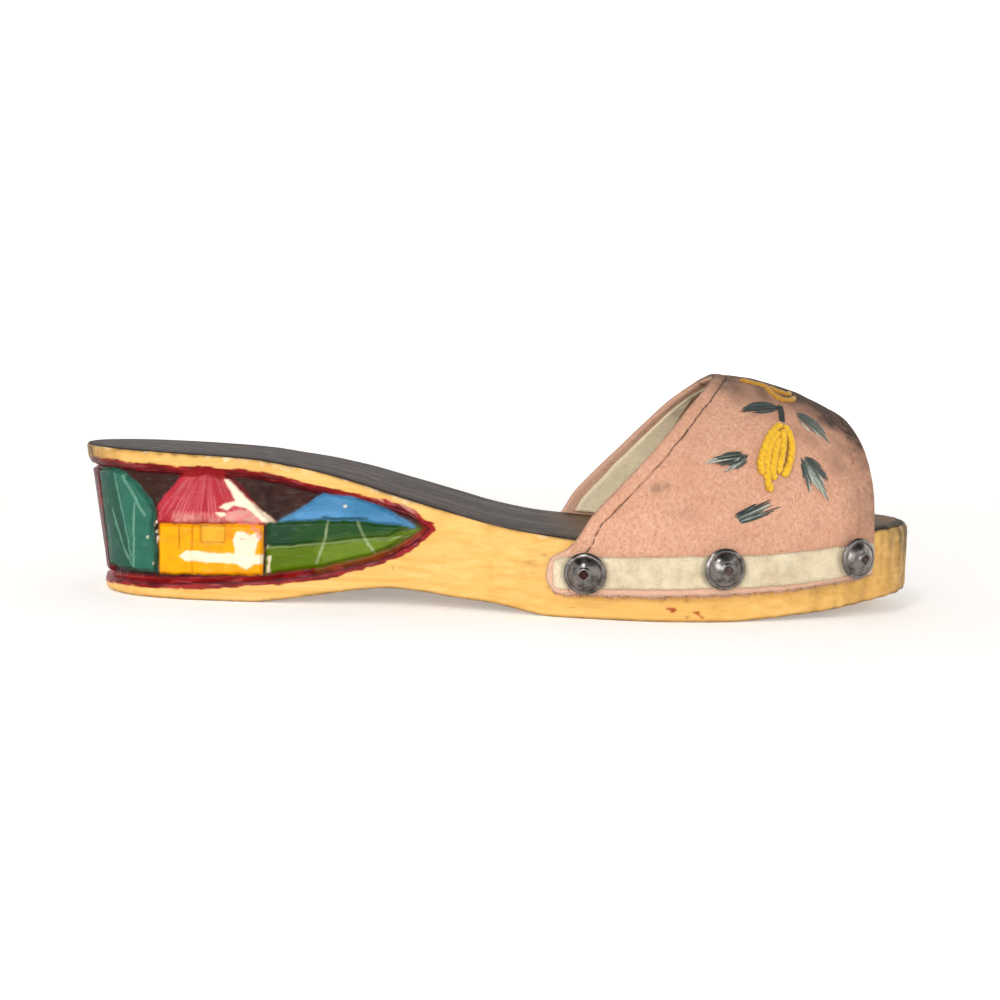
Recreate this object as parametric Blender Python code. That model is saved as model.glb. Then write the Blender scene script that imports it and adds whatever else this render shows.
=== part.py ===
"""Right-foot wooden wedge sandal: a carved sole, a nailed suede vamp, two edge bands and six dome nails.

Named sizes and tables are in millimetres and become metres where vertices are made.
The shoe points along +X, its lateral side faces -Y, its medial side +Y, and it stands on z = 0.
"""

import math
from bisect import bisect_right

import bmesh
import bpy
from mathutils import Matrix, Vector
from mathutils.geometry import delaunay_2d_cdt

MM = 0.001
LATERAL, MEDIAL = -1, 1
SIDES = {"lateral": LATERAL, "medial": MEDIAL}

# Driving sizes, in millimetres
LENGTH = 246.0
STATIONS = 46             # rungs of the sole's ladder from heel back to toe tip
WALL_ROWS = 4             # divisions of the sole's side from bottom to top
EDGE_ROUND = 1.2          # worn edge of the wood, top and bottom
TOE_ROUND = 3.2           # fuller round of the footbed's edge at the toe tip
TOE_ROUND_FROM = 226.0
HEEL_LEAN = 6.5           # how far the heel back leans in at the floor
LEAN_REACH = 75.0         # the lean has faded out this far from the heel back
TOE_OFFSET = 4.0          # the toe tip lies this far to the medial side
SEAT_GAP = 0.3            # clearance between pieces that lie on each other
SUEDE = 2.0               # wall of the vamp
BAND = 1.0                # thickness of the edge band
BAND_WIDTH = 8.9
BAND_CORNER = 2.0
CROWN_OFFSET = 3.0        # the ridge of the vamp lies to the medial side
ARCH_FULLNESS = 0.92      # below 1 the vamp's section is fuller than an ellipse
NAIL_RADIUS = 5.8
NAIL_DOME = 3.0
NAIL_RIM = 0.4            # thickness of the head's edge
PIT_RADIUS = 1.3
PIT_FLOOR = 0.9           # radius of the pit's flat floor
PIT_DEPTH = 0.7
SHANK_RADIUS = 0.9
SHANK_LENGTH = 12.0
SHANK_POINT = 2.0
NAIL_SIDES = 18

# Plan outline of the sole: distance from the heel back, lateral edge, medial edge
OUTLINE = (
    (0.0, 0.0, 0.0),
    (3.0, 12.1, 12.1),
    (10.0, 20.7, 20.7),
    (20.0, 26.2, 26.2),
    (35.0, 28.5, 28.4),
    (60.0, 28.1, 27.5),
    (85.0, 27.7, 25.9),
    (100.0, 29.0, 26.2),
    (115.0, 32.0, 28.4),
    (130.0, 36.5, 32.4),
    (148.0, 41.0, 38.0),
    (165.0, 43.0, 41.2),
    (180.0, 41.5, 42.2),
    (195.0, 37.5, 42.0),
    (210.0, 31.8, 40.2),
    (222.0, 26.0, 36.6),
    (232.0, 19.6, 31.0),
    (241.0, 11.0, 22.5),
    (244.6, 3.5, 14.5),
    (LENGTH, -TOE_OFFSET, TOE_OFFSET),
)

# Side profile of the sole: distance from the heel back, underside, footbed, rise of the footbed's medial edge
PROFILE = (
    (0.0, 0.0, 43.0, 0.0),
    (32.0, 0.0, 42.0, 0.0),
    (46.0, 0.0, 41.4, 0.0),
    (53.0, 0.0, 40.9, 0.0),
    (60.0, 0.8, 39.9, 0.1),
    (71.0, 2.5, 37.9, 0.7),
    (83.0, 4.3, 34.8, 1.5),
    (92.0, 5.1, 32.1, 1.9),
    (100.0, 4.6, 29.9, 2.0),
    (111.0, 3.3, 27.1, 1.75),
    (120.0, 2.6, 25.0, 1.25),
    (128.0, 1.3, 23.7, 0.75),
    (137.0, 0.0, 22.7, 0.2),
    (160.0, 0.0, 21.0, 0.0),
    (186.0, 0.0, 21.2, 0.0),
    (200.0, 0.9, 22.2, 0.0),
    (215.0, 2.1, 23.6, 0.0),
    (230.0, 4.2, 25.0, 0.0),
    (LENGTH, 6.2, 26.4, 0.0),
)

# Carved panel: distance round the heel from its back, lower edge, upper edge
PANEL = (
    (0.0, 2.8, 38.6),
    (20.0, 2.6, 39.0),
    (40.0, 3.0, 38.3),
    (60.0, 4.2, 38.0),
    (71.0, 4.9, 37.0),
    (78.0, 5.8, 35.7),
    (86.0, 7.0, 34.0),
    (93.0, 8.7, 32.5),
    (102.0, 11.3, 31.0),
    (108.0, 13.6, 29.6),
    (114.5, 17.3, 27.2),
    (119.4, 22.4, 22.6),
)
# Cross-section of the panel's border: distance in from the edge, depth
BORDER = ((0.0, 0.0), (1.6, 0.6), (2.4, 2.4))
GROUND_DEPTH = 2.4
MOTIF_BEVEL = 0.7
MITRE_LIMIT = 0.3

# Carved motifs on each side of the heel: depth of the face, then points (distance round the heel, height)
MOTIFS = {
    "back": (0.8, ((-16.0, 5.4), (16.0, 5.4), (16.0, 36.0), (-16.0, 36.0))),
    "leaf": (0.5, ((15.5, 7.6), (31.0, 7.4), (39.5, 7.4), (39.7, 13.0), (38.2, 21.2), (39.4, 24.5),
                   (37.8, 28.0), (33.8, 32.4), (28.3, 35.3), (23.5, 36.4), (15.5, 35.8))),
    "roof": (0.7, ((40.0, 21.6), (75.2, 22.4), (71.2, 25.4), (63.0, 34.0), (59.7, 37.0), (48.7, 36.8),
                   (40.0, 26.6))),
    "wall": (1.1, ((40.2, 7.0), (71.2, 7.8), (71.0, 22.0), (40.4, 21.3))),
    "hill": (1.5, ((75.2, 22.8), (87.2, 23.9), (95.0, 24.0), (113.6, 22.8), (107.7, 26.3), (102.0, 29.0),
                   (95.0, 30.8), (87.8, 31.2), (81.7, 27.0))),
    "hedge": (1.3, ((72.4, 15.7), (88.3, 17.5), (106.0, 19.8), (112.0, 22.6), (95.0, 23.8), (87.2, 23.7),
                    (72.4, 22.5))),
    "field": (1.0, ((72.2, 8.2), (86.2, 10.4), (93.0, 12.2), (102.0, 14.6), (108.2, 17.6), (114.7, 22.2),
                    (106.0, 19.6), (88.3, 17.3), (72.2, 15.5))),
}

# Vamp along its length: distance from the heel back, inner height of the ridge, lower margin's height
VAMP = (
    (136.0, 62.0, 6.6),
    (165.0, 65.3, 7.2),
    (184.0, 66.2, 7.9),
    (196.0, 65.4, 8.4),
    (208.0, 62.2, 9.4),
    (214.0, 59.5, 10.2),
    (220.0, 56.6, 11.0),
    (226.0, 52.6, 11.8),
    (234.0, 46.0, 12.8),
)
# Vamp across: fraction from the ridge (0) to the lower margin (1), throat edge, front edge
VAMP_HALF = (
    (0.0, 185.0, 224.0),
    (0.16, 181.9, 225.0),
    (0.34, 173.6, 227.0),
    (0.52, 162.3, 228.3),
    (0.61, 155.3, 228.7),
    (0.72, 147.4, 228.9),
    (0.80, 143.6, 229.0),
    (0.84, 140.8, 229.0),
    (0.88, 136.6, 229.0),
    (0.94, 135.8, 229.0),
    (1.0, 138.4, 229.0),
)
VAMP_EDGES = tuple((-f, t, e) for f, t, e in reversed(VAMP_HALF[1:])) + VAMP_HALF
SPRING = 0.80             # fraction at which the vamp leaves the side of the sole
VAMP_COLUMNS = 16
ARCH_ROWS = 26
MARGIN_ROWS = 5

# Edge band: distance from the heel back, height of its lower edge
BAND_LINE = ((136.0, 8.1), (152.0, 9.0), (168.0, 9.6), (180.0, 10.0), (192.0, 10.2), (205.0, 11.0),
             (220.0, 12.5), (234.0, 14.0))
BAND_START, BAND_END = 138.0, 228.2
BAND_COLUMNS = 26

# Nails: name, distance from the heel back, height
NAILS = (("rear", 146.6, 13.2), ("middle", 183.3, 15.5), ("front", 222.3, 17.7))

# Finishes: base colour, roughness, metallic
FINISHES = {
    "painted_wood": ((0.78, 0.47, 0.14), 0.45, 0.0),
    "suede": ((0.74, 0.40, 0.26), 0.95, 0.0),
    "band_tape": ((0.70, 0.60, 0.40), 0.85, 0.0),
    "pewter": ((0.16, 0.14, 0.13), 0.32, 1.0),
}


def smooth(rows, column, at):
    """Monotone cubic through one column of a table whose first column rises."""
    keys = [row[0] for row in rows]
    values = [row[column] for row in rows]
    at = min(max(at, keys[0]), keys[-1])
    last = len(keys) - 1
    i = min(bisect_right(keys, at) - 1, last - 1)

    def slope(j):
        return (values[j + 1] - values[j]) / (keys[j + 1] - keys[j])

    def tangent(j):
        if j in (0, last):
            return slope(min(j, last - 1))
        before, after = slope(j - 1), slope(j)
        if before * after <= 0.0:
            return 0.0
        return 2.0 * before * after / (before + after)

    width = keys[i + 1] - keys[i]
    t = (at - keys[i]) / width
    return ((1 + 2 * t) * (1 - t) ** 2 * values[i] + t * (1 - t) ** 2 * width * tangent(i)
            + t * t * (3 - 2 * t) * values[i + 1] + t * t * (t - 1) * width * tangent(i + 1))


def station_of(x):
    """Station parameter, 0 at the heel back and 1 at the toe tip, crowded towards both ends."""
    return math.acos(1.0 - 2.0 * min(max(x, 0.0), LENGTH) / LENGTH) / math.pi


def x_of(station):
    return LENGTH * (1.0 - math.cos(math.pi * station)) / 2.0


OUTLINE_BY_STATION = [(station_of(x), lateral, medial) for x, lateral, medial in OUTLINE]


def edge(side, station):
    """Plan position of the sole's edge."""
    reach = smooth(OUTLINE_BY_STATION, 1 if side == LATERAL else 2, station)
    return Vector((x_of(station), side * reach))


def outward(side, station):
    """Unit plan normal of the sole's edge."""
    if station <= 0.0:
        return Vector((-1.0, 0.0))
    if station >= 1.0:
        return Vector((1.0, 0.0))
    step = 0.002
    along = edge(side, min(station + step, 1.0)) - edge(side, max(station - step, 0.0))
    return Vector((-side * along.y, side * along.x)).normalized()


def arc_lengths(side, samples=600):
    """Rows of distance round the edge from the heel back, and station."""
    rows = [(0.0, 0.0)]
    for k in range(1, samples + 1):
        run = (edge(side, k / samples) - edge(side, (k - 1) / samples)).length
        rows.append((rows[-1][0] + run, k / samples))
    return rows


ARCS = {side: arc_lengths(side) for side in (LATERAL, MEDIAL)}


def station_at(side, along):
    rows = ARCS[side]
    along = min(max(along, 0.0), rows[-1][0])
    i = min(bisect_right(rows, (along, 2.0)) - 1, len(rows) - 2)
    (a, ta), (b, tb) = rows[i], rows[i + 1]
    return ta + (tb - ta) * (along - a) / (b - a)


def along_at(side, station):
    rows = ARCS[side]
    i = min(int(station * (len(rows) - 1)), len(rows) - 2)
    (a, ta), (b, tb) = rows[i], rows[i + 1]
    return a + (b - a) * (station - ta) / (tb - ta)


def underside(x, _side=LATERAL):
    """Height of the underside, level across."""
    return smooth(PROFILE, 1, x)


def footbed(x, side):
    """Height of the footbed's edge."""
    rise = smooth(PROFILE, 3, x) if side == MEDIAL else 0.0
    return smooth(PROFILE, 2, x) + rise


def lean(x, z):
    """How far the side of the heel leans in at a height."""
    fade = max(0.0, 1.0 - x / LEAN_REACH) ** 2
    return HEEL_LEAN * fade * max(0.0, 1.0 - z / PROFILE[0][2])


def side_point(side, station, z, out=0.0):
    """Point on the side of the sole, or a distance out from it."""
    base = edge(side, station)
    normal = outward(side, station)
    x, y = base + normal * (out - lean(base.x, z))
    return Vector((x, y, z))


def distance_inside(loop, point):
    """Signed distance to a closed loop of points, positive inside."""
    px, pz = point
    nearest = math.inf
    inside = False
    for (ax, az), (bx, bz) in zip(loop, loop[1:] + loop[:1]):
        dx, dz = bx - ax, bz - az
        t = ((px - ax) * dx + (pz - az) * dz) / (dx * dx + dz * dz)
        t = min(max(t, 0.0), 1.0)
        nearest = min(nearest, math.hypot(px - ax - t * dx, pz - az - t * dz))
        if (az > pz) != (bz > pz) and px < ax + (pz - az) * dx / dz:
            inside = not inside
    return nearest if inside else -nearest


def inset_loop(loop, distance):
    """Counter-clockwise loop moved inwards by mitring its corners."""
    result = []
    for before, here, after in zip(loop[-1:] + loop[:-1], loop, loop[1:] + loop[:1]):
        first = (Vector(here) - Vector(before)).normalized()
        second = (Vector(after) - Vector(here)).normalized()
        normal = Vector((-first.y - second.y, first.x + second.x)).normalized()
        mitre = max(normal.dot(Vector((-first.y, first.x))), MITRE_LIMIT)
        result.append(tuple(Vector(here) + normal * (distance / mitre)))
    return result


def mirrored(loop):
    """The same loop on the other side of the heel, still counter-clockwise."""
    return [(-along, z) for along, z in reversed(loop)]


def panel_loop():
    """Outline of the carved panel round the heel, counter-clockwise."""
    lower = [(along, low) for along, low, _ in PANEL]
    upper = [(along, high) for along, _, high in PANEL]
    half = lower + upper[::-1]
    return [(-along, z) for along, z in reversed(lower[1:])] + half + [(-along, z) for along, z in upper[1:]]


PANEL_LOOP = panel_loop()


def relief(along, z):
    """Depth of the carving at a point of the side."""
    inside = distance_inside(PANEL_LOOP, (along, z))
    if inside <= 0.0:
        return 0.0
    depth = GROUND_DEPTH
    for (near, shallow), (far, deep) in zip(BORDER, BORDER[1:]):
        if near <= inside < far:
            depth = shallow + (deep - shallow) * (inside - near) / (far - near)
    for face_depth, loop in MOTIFS.values():
        rise = min(max(distance_inside(list(loop), (abs(along), z)) / MOTIF_BEVEL, 0.0), 1.0)
        depth = min(depth, GROUND_DEPTH - rise * (GROUND_DEPTH - face_depth))
    return depth


def wall_vertex(along, z):
    """Vertex of the carved side, by signed distance round the heel (lateral positive) and height."""
    side = LATERAL if along >= 0.0 else MEDIAL
    station = station_at(side, abs(along))
    return side_point(side, station, z, -relief(along, z))


def new_object(name, mesh_builder, finish):
    mesh = bpy.data.meshes.new(name)
    bm = bmesh.new()
    mesh_builder(bm)
    bmesh.ops.scale(bm, vec=(MM, MM, MM), verts=bm.verts)
    bmesh.ops.translate(bm, vec=(-LENGTH / 2 * MM, 0.0, 0.0), verts=bm.verts)
    bmesh.ops.recalc_face_normals(bm, faces=bm.faces)
    bm.to_mesh(mesh)
    bm.free()
    mesh.shade_smooth()
    mesh.set_sharp_from_angle(angle=math.radians(30.0))
    if finish:
        mesh.materials.append(material(finish))
    thing = bpy.data.objects.new(name, mesh)
    bpy.context.scene.collection.objects.link(thing)
    return thing


def material(name):
    if name in bpy.data.materials:
        return bpy.data.materials[name]
    colour, roughness, metallic = FINISHES[name]
    made = bpy.data.materials.new(name)
    made.use_nodes = True
    shader = made.node_tree.nodes["Principled BSDF"]
    shader.inputs["Base Color"].default_value = (*colour, 1.0)
    shader.inputs["Roughness"].default_value = roughness
    shader.inputs["Metallic"].default_value = metallic
    made.diffuse_color = (*colour, 1.0)
    return made


def sole_stations():
    return [k / STATIONS for k in range(STATIONS + 1)]


def perimeter():
    """Sides and stations round the sole: toe tip, medial side, heel, lateral side and back to the toe tip."""
    stations = sole_stations()
    return [(MEDIAL, t) for t in reversed(stations[1:])] + [(LATERAL, t) for t in stations]


def signed_along(side, station):
    return -side * along_at(side, station)


def build_side(bm):
    """Carved side wall: a constrained triangulation of its unrolled sheet, wrapped round the outline."""
    ring = perimeter()
    lower = [(signed_along(s, t), underside(x_of(t)) + bottom_round(x_of(t))) for s, t in ring]
    upper = [(signed_along(s, t), footbed(x_of(t), s) - top_round(x_of(t))) for s, t in ring]
    toe_heights = [lower[0][1] + (upper[0][1] - lower[0][1]) * k / WALL_ROWS for k in range(1, WALL_ROWS)]
    loops = [lower + [(lower[-1][0], z) for z in toe_heights] + upper[::-1]
             + [(lower[0][0], z) for z in reversed(toe_heights)]]
    loops += [inset_loop(PANEL_LOOP, distance) for distance, _ in BORDER]
    for _, loop in MOTIFS.values():
        for shape in (list(loop), mirrored(list(loop))):
            loops += [shape, inset_loop(shape, MOTIF_BEVEL)]
    points, edges = [], []
    for loop in loops:
        first = len(points)
        points += loop
        edges += [(first + k, first + (k + 1) % len(loop)) for k in range(len(loop))]
    for (along, low), (_, high) in zip(lower[1:-1], upper[1:-1]):
        points += [(along, low + (high - low) * k / WALL_ROWS) for k in range(1, WALL_ROWS)]
    flat, _, faces, *_ = delaunay_2d_cdt([Vector(p) for p in points], edges, [], 1, 1e-5)
    verts = [bm.verts.new(wall_vertex(p.x, p.y)) for p in flat]
    for face in faces:
        bm.faces.new([verts[k] for k in face])


def top_round(x):
    """Radius of the footbed's worn edge."""
    return EDGE_ROUND + (TOE_ROUND - EDGE_ROUND) * max(0.0, (x - TOE_ROUND_FROM) / (LENGTH - TOE_ROUND_FROM))


def bottom_round(_x):
    """Radius of the underside's worn edge."""
    return EDGE_ROUND


def build_cap(bm, height, radius, up):
    """Rounded edge strips and ladder of rungs that close the sole at the footbed or underside."""
    ring = perimeter()[:-1]
    count = len(ring)
    rings = []
    for turn in (0.0, math.pi / 4, math.pi / 2):
        rings.append([])
        for side, station in ring:
            x = x_of(station)
            drop = radius(x) * (1.0 - math.sin(turn))
            sunk = radius(x) * (1.0 - math.cos(turn))
            rings[-1].append(bm.verts.new(side_point(side, station, height(x, side) - up * drop, -sunk)))
    for outer, inner in zip(rings, rings[1:]):
        for k in range(count):
            after = (k + 1) % count
            bm.faces.new((outer[k], outer[after], inner[after], inner[k]))
    inner = rings[-1]
    for k in range(STATIONS):
        rung = [inner[k], inner[(k + 1) % count], inner[(-k - 1) % count], inner[-k % count]]
        unique = list(dict.fromkeys(rung))
        bm.faces.new(unique)


def build_sole(bm):
    build_side(bm)
    build_cap(bm, footbed, top_round, 1)
    build_cap(bm, underside, bottom_round, -1)
    bmesh.ops.remove_doubles(bm, verts=bm.verts, dist=1e-3)


def vamp_point(x, across):
    """Inner face of the vamp. Across is -1 at the lateral margin, 0 at the ridge and 1 at the medial one."""
    side = LATERAL if across < 0.0 else MEDIAL
    station = station_of(x)
    out = SEAT_GAP * math.hypot(1.0, edge_slope(side, x))
    reach = side * edge(side, station).y + out
    spring = footbed(x, side)
    fraction = abs(across)
    if fraction >= SPRING:
        margin = smooth(VAMP, 2, x)
        down = (fraction - SPRING) / (1.0 - SPRING)
        return Vector((x, side * reach, spring + (margin - spring) * down))
    turn = (1.0 - fraction / SPRING) * math.pi / 2
    half = side * reach - CROWN_OFFSET
    rise = smooth(VAMP, 1, x) - spring
    return Vector((x, CROWN_OFFSET + half * math.cos(turn) ** ARCH_FULLNESS, spring + rise * math.sin(turn)))


def edge_slope(side, x):
    """How fast the outline narrows along the shoe."""
    step = 0.5
    return (edge(side, station_of(x + step)).y - edge(side, station_of(x - step)).y) / (2 * step)


def vamp_across():
    """Positions across the vamp, from lateral to medial margin."""
    margin = [1.0 - (1.0 - SPRING) * k / MARGIN_ROWS for k in range(MARGIN_ROWS)]
    arch = [SPRING * (1.0 - 2.0 * k / ARCH_ROWS) for k in range(ARCH_ROWS + 1)]
    return [-a for a in margin] + [-a for a in arch] + margin[::-1]


def vamp_surface(across, column):
    throat = smooth(VAMP_EDGES, 1, across)
    front = smooth(VAMP_EDGES, 2, across)
    return vamp_point(throat + (front - throat) * column, across)


def vamp_normal(across, column):
    """Outward normal of the vamp by differences along and across."""
    step = 0.01
    low, high = max(across - step, -1.0), min(across + step, 1.0)
    back, fore = max(column - step, 0.0), min(column + step, 1.0)
    over = vamp_surface(high, column) - vamp_surface(low, column)
    ahead = vamp_surface(across, fore) - vamp_surface(across, back)
    return ahead.cross(over).normalized()


def build_vamp(bm):
    """One hollow arched wall: inner and outer grids closed along throat, front and margins."""
    across = vamp_across()
    columns = [k / VAMP_COLUMNS for k in range(VAMP_COLUMNS + 1)]
    inner = [[bm.verts.new(vamp_surface(a, c)) for c in columns] for a in across]
    outer = [[bm.verts.new(vamp_surface(a, c) + vamp_normal(a, c) * SUEDE) for c in columns] for a in across]
    close_shell(bm, inner, outer)


def close_shell(bm, inner, outer):
    """Faces of two facing grids and of the four strips between their borders."""
    rows, columns = len(inner), len(inner[0])
    for i in range(rows - 1):
        for j in range(columns - 1):
            for grid in (inner, outer):
                bm.faces.new((grid[i][j], grid[i][j + 1], grid[i + 1][j + 1], grid[i + 1][j]))
    border = [(0, j) for j in range(columns)] + [(i, columns - 1) for i in range(1, rows)]
    border += [(rows - 1, j) for j in reversed(range(columns - 1))]
    border += [(i, 0) for i in reversed(range(1, rows - 1))]
    for (i, j), (k, m) in zip(border, border[1:] + border[:1]):
        bm.faces.new((inner[i][j], inner[k][m], outer[k][m], outer[i][j]))


def build_band(side):
    """Strip with round ends that lies on the vamp's margin."""
    def build(bm):
        under = 2 * SEAT_GAP + SUEDE
        radius = BAND_WIDTH / 2
        grids = []
        for out in (under, under + BAND):
            grid = [[], [], []]
            for k in range(BAND_COLUMNS + 1):
                part_way = (1.0 - math.cos(math.pi * k / BAND_COLUMNS)) / 2
                x = BAND_START + (BAND_END - BAND_START) * part_way
                short = BAND_CORNER - min(x - BAND_START, BAND_END - x, BAND_CORNER)
                half = radius - BAND_CORNER + math.sqrt(BAND_CORNER ** 2 - short ** 2)
                middle = smooth(BAND_LINE, 1, x) + radius
                for row, z in zip(grid, (middle - half, middle, middle + half)):
                    row.append(bm.verts.new(side_point(side, station_of(x), z, out)))
            grids.append(grid)
        close_shell(bm, *grids)
    return build


def nail_profile():
    """Half section of a nail, from its pit to the tip of its shank: radius, height over the band."""
    dome_radius = (NAIL_RADIUS ** 2 + NAIL_DOME ** 2) / (2 * NAIL_DOME)
    centre = NAIL_DOME - dome_radius
    rim_angle = math.asin(NAIL_RADIUS / dome_radius)
    pit_angle = math.asin(PIT_RADIUS / dome_radius)
    steps = 5
    angles = [pit_angle + (rim_angle - pit_angle) * k / steps for k in range(steps + 1)]
    dome = [(dome_radius * math.sin(a), centre + dome_radius * math.cos(a)) for a in angles]
    pit = [(0.0, NAIL_DOME - PIT_DEPTH), (PIT_FLOOR, NAIL_DOME - PIT_DEPTH)]
    dome[-1] = (NAIL_RADIUS, NAIL_RIM)
    under = [(NAIL_RADIUS - NAIL_RIM, 0.0), (SHANK_RADIUS, 0.0)]
    shank = [(SHANK_RADIUS, SHANK_POINT - SHANK_LENGTH), (0.0, -SHANK_LENGTH)]
    return pit + dome + under + shank


def turned(bm, profile, place, sides):
    """Surface of revolution about the local Z axis of a placement."""
    position, axis = place
    turn = axis.to_track_quat("Z", "Y")
    rings = []
    for radius, height in profile:
        if radius == 0.0:
            rings.append([bm.verts.new(position + turn @ Vector((0.0, 0.0, height)))])
            continue
        turns = [Matrix.Rotation(2 * math.pi * k / sides, 3, "Z") for k in range(sides)]
        ring = [spin @ Vector((radius, 0.0, height)) for spin in turns]
        rings.append([bm.verts.new(position + turn @ point) for point in ring])
    for upper, lower in zip(rings, rings[1:]):
        for k in range(sides):
            after = (k + 1) % sides
            corners = [upper[k % len(upper)], upper[after % len(upper)],
                       lower[after % len(lower)], lower[k % len(lower)]]
            bm.faces.new(list(dict.fromkeys(corners)))


def nail_place(side, x, z):
    """Where a nail's head meets the band, and the direction it faces."""
    out = 3 * SEAT_GAP + SUEDE + BAND
    station = station_of(x)
    normal = outward(side, station)
    return side_point(side, station, z, out), Vector((normal.x, normal.y, 0.0))


def build_nail(side, x, z):
    def build(bm):
        turned(bm, nail_profile(), nail_place(side, x, z), NAIL_SIDES)
    return build


def build_holes(bm):
    """Drills for the nail shanks, each from outside the band into the wood."""
    radius = SHANK_RADIUS + SEAT_GAP
    floor = -SHANK_LENGTH - SEAT_GAP
    drill = [(0.0, NAIL_DOME), (radius, NAIL_DOME), (radius, floor), (0.0, floor)]
    for side in SIDES.values():
        for _, x, z in NAILS:
            turned(bm, drill, nail_place(side, x, z), NAIL_SIDES // 2)


def drill_through(thing, holes):
    cut = thing.modifiers.new("nail_holes", "BOOLEAN")
    cut.operation = "DIFFERENCE"
    cut.solver = "EXACT"
    cut.object = holes


def main():
    for old in list(bpy.data.objects):
        bpy.data.objects.remove(old, do_unlink=True)
    holes = new_object("nail_holes", build_holes, None)
    holes.hide_render = True
    holes.display_type = "WIRE"
    drilled = [new_object("sole", build_sole, "painted_wood"), new_object("upper", build_vamp, "suede")]
    for side_name, side in SIDES.items():
        drilled.append(new_object(f"band_{side_name}", build_band(side), "band_tape"))
        for nail_name, x, z in NAILS:
            new_object(f"nail_{side_name}_{nail_name}", build_nail(side, x, z), "pewter")
    for thing in drilled:
        drill_through(thing, holes)


main()
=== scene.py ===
"""Looks of the right-foot wooden wedge sandal: carved and painted sole, suede vamp, tape, nails, embroidery.

Sizes are in millimetres and become metres where vertices are made. x is the distance from the heel back, the
lateral side faces -Y, and z is the height over the floor. Points of the carved side are given unrolled, as
(distance round the heel from its back, height), and points of the vamp as (x, fraction from the ridge to the
lower margin). Random unevenness is given as (height, size, layer) of smooth random fields.
"""

import math
from functools import reduce

import bpy
import numpy as np
from mathutils import Matrix, Vector


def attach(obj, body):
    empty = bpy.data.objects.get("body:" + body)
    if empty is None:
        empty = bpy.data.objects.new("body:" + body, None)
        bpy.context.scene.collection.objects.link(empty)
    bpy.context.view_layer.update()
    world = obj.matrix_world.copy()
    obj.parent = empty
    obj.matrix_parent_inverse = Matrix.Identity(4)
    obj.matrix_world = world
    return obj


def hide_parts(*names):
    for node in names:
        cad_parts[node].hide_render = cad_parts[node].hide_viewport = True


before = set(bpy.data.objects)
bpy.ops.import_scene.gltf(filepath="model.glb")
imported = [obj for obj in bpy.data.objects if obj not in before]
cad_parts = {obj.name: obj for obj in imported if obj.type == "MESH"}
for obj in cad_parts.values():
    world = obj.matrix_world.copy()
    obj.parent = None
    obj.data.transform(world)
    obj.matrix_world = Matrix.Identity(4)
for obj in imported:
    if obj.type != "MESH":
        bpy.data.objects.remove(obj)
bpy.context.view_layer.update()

MM = 0.001
LATERAL, MEDIAL = -1, 1
SIDES = {"lateral": LATERAL, "medial": MEDIAL}

# Driving sizes of the shoe
LENGTH = 246
EDGE_ROUND = 1.2
TOE_ROUND = 3.2
TOE_ROUND_FROM = 226
HEEL_LEAN = 6.5
LEAN_REACH = 75
TOE_OFFSET = 4
SEAT_GAP = 0.3
SUEDE = 2
BAND = 1
BAND_WIDTH = 8.9
BAND_CORNER = 2
CROWN_OFFSET = 3
ARCH_FULLNESS = 0.92
SPRING = 0.80
NAIL_RADIUS = 5.8
NAIL_DOME = 3
SHANK_RADIUS = 0.9
SHANK_LENGTH = 12
SHANK_POINT = 2

# Plan outline of the sole: distance from the heel back, lateral edge, medial edge
OUTLINE = (
    (0, 0, 0), (3, 12.1, 12.1), (10, 20.7, 20.7), (20, 26.2, 26.2), (35, 28.5, 28.4),
    (60, 28.1, 27.5), (85, 27.7, 25.9), (100, 29, 26.2), (115, 32, 28.4), (130, 36.5, 32.4),
    (148, 41, 38), (165, 43, 41.2), (180, 41.5, 42.2), (195, 37.5, 42), (210, 31.8, 40.2),
    (222, 26, 36.6), (232, 19.6, 31), (241, 11, 22.5), (244.6, 3.5, 14.5),
    (LENGTH, -TOE_OFFSET, TOE_OFFSET),
)
# Side profile: distance from the heel back, underside, footbed, rise of the footbed's medial edge
PROFILE = (
    (0, 0, 43, 0), (32, 0, 42, 0), (46, 0, 41.4, 0), (53, 0, 40.9, 0),
    (60, 0.8, 39.9, 0.1), (71, 2.5, 37.9, 0.7), (83, 4.3, 34.8, 1.5), (92, 5.1, 32.1, 1.9),
    (100, 4.6, 29.9, 2), (111, 3.3, 27.1, 1.75), (120, 2.6, 25, 1.25), (128, 1.3, 23.7, 0.75),
    (137, 0, 22.7, 0.2), (160, 0, 21, 0), (186, 0, 21.2, 0), (200, 0.9, 22.2, 0),
    (215, 2.1, 23.6, 0), (230, 4.2, 25, 0), (LENGTH, 6.2, 26.4, 0),
)
# Carved panel: distance round the heel, lower edge, upper edge
PANEL = (
    (0, 2.8, 38.6), (20, 2.6, 39), (40, 3, 38.3), (60, 4.2, 38), (71, 4.9, 37),
    (78, 5.8, 35.7), (86, 7, 34), (93, 8.7, 32.5), (102, 11.3, 31), (108, 13.6, 29.6),
    (114.5, 17.3, 27.2), (119.4, 22.4, 22.6),
)
BORDER = ((0, 0), (1.6, 0.6), (2.4, 2.4))
GROUND_DEPTH = 2.4
MOTIF_BEVEL = 0.7
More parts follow.
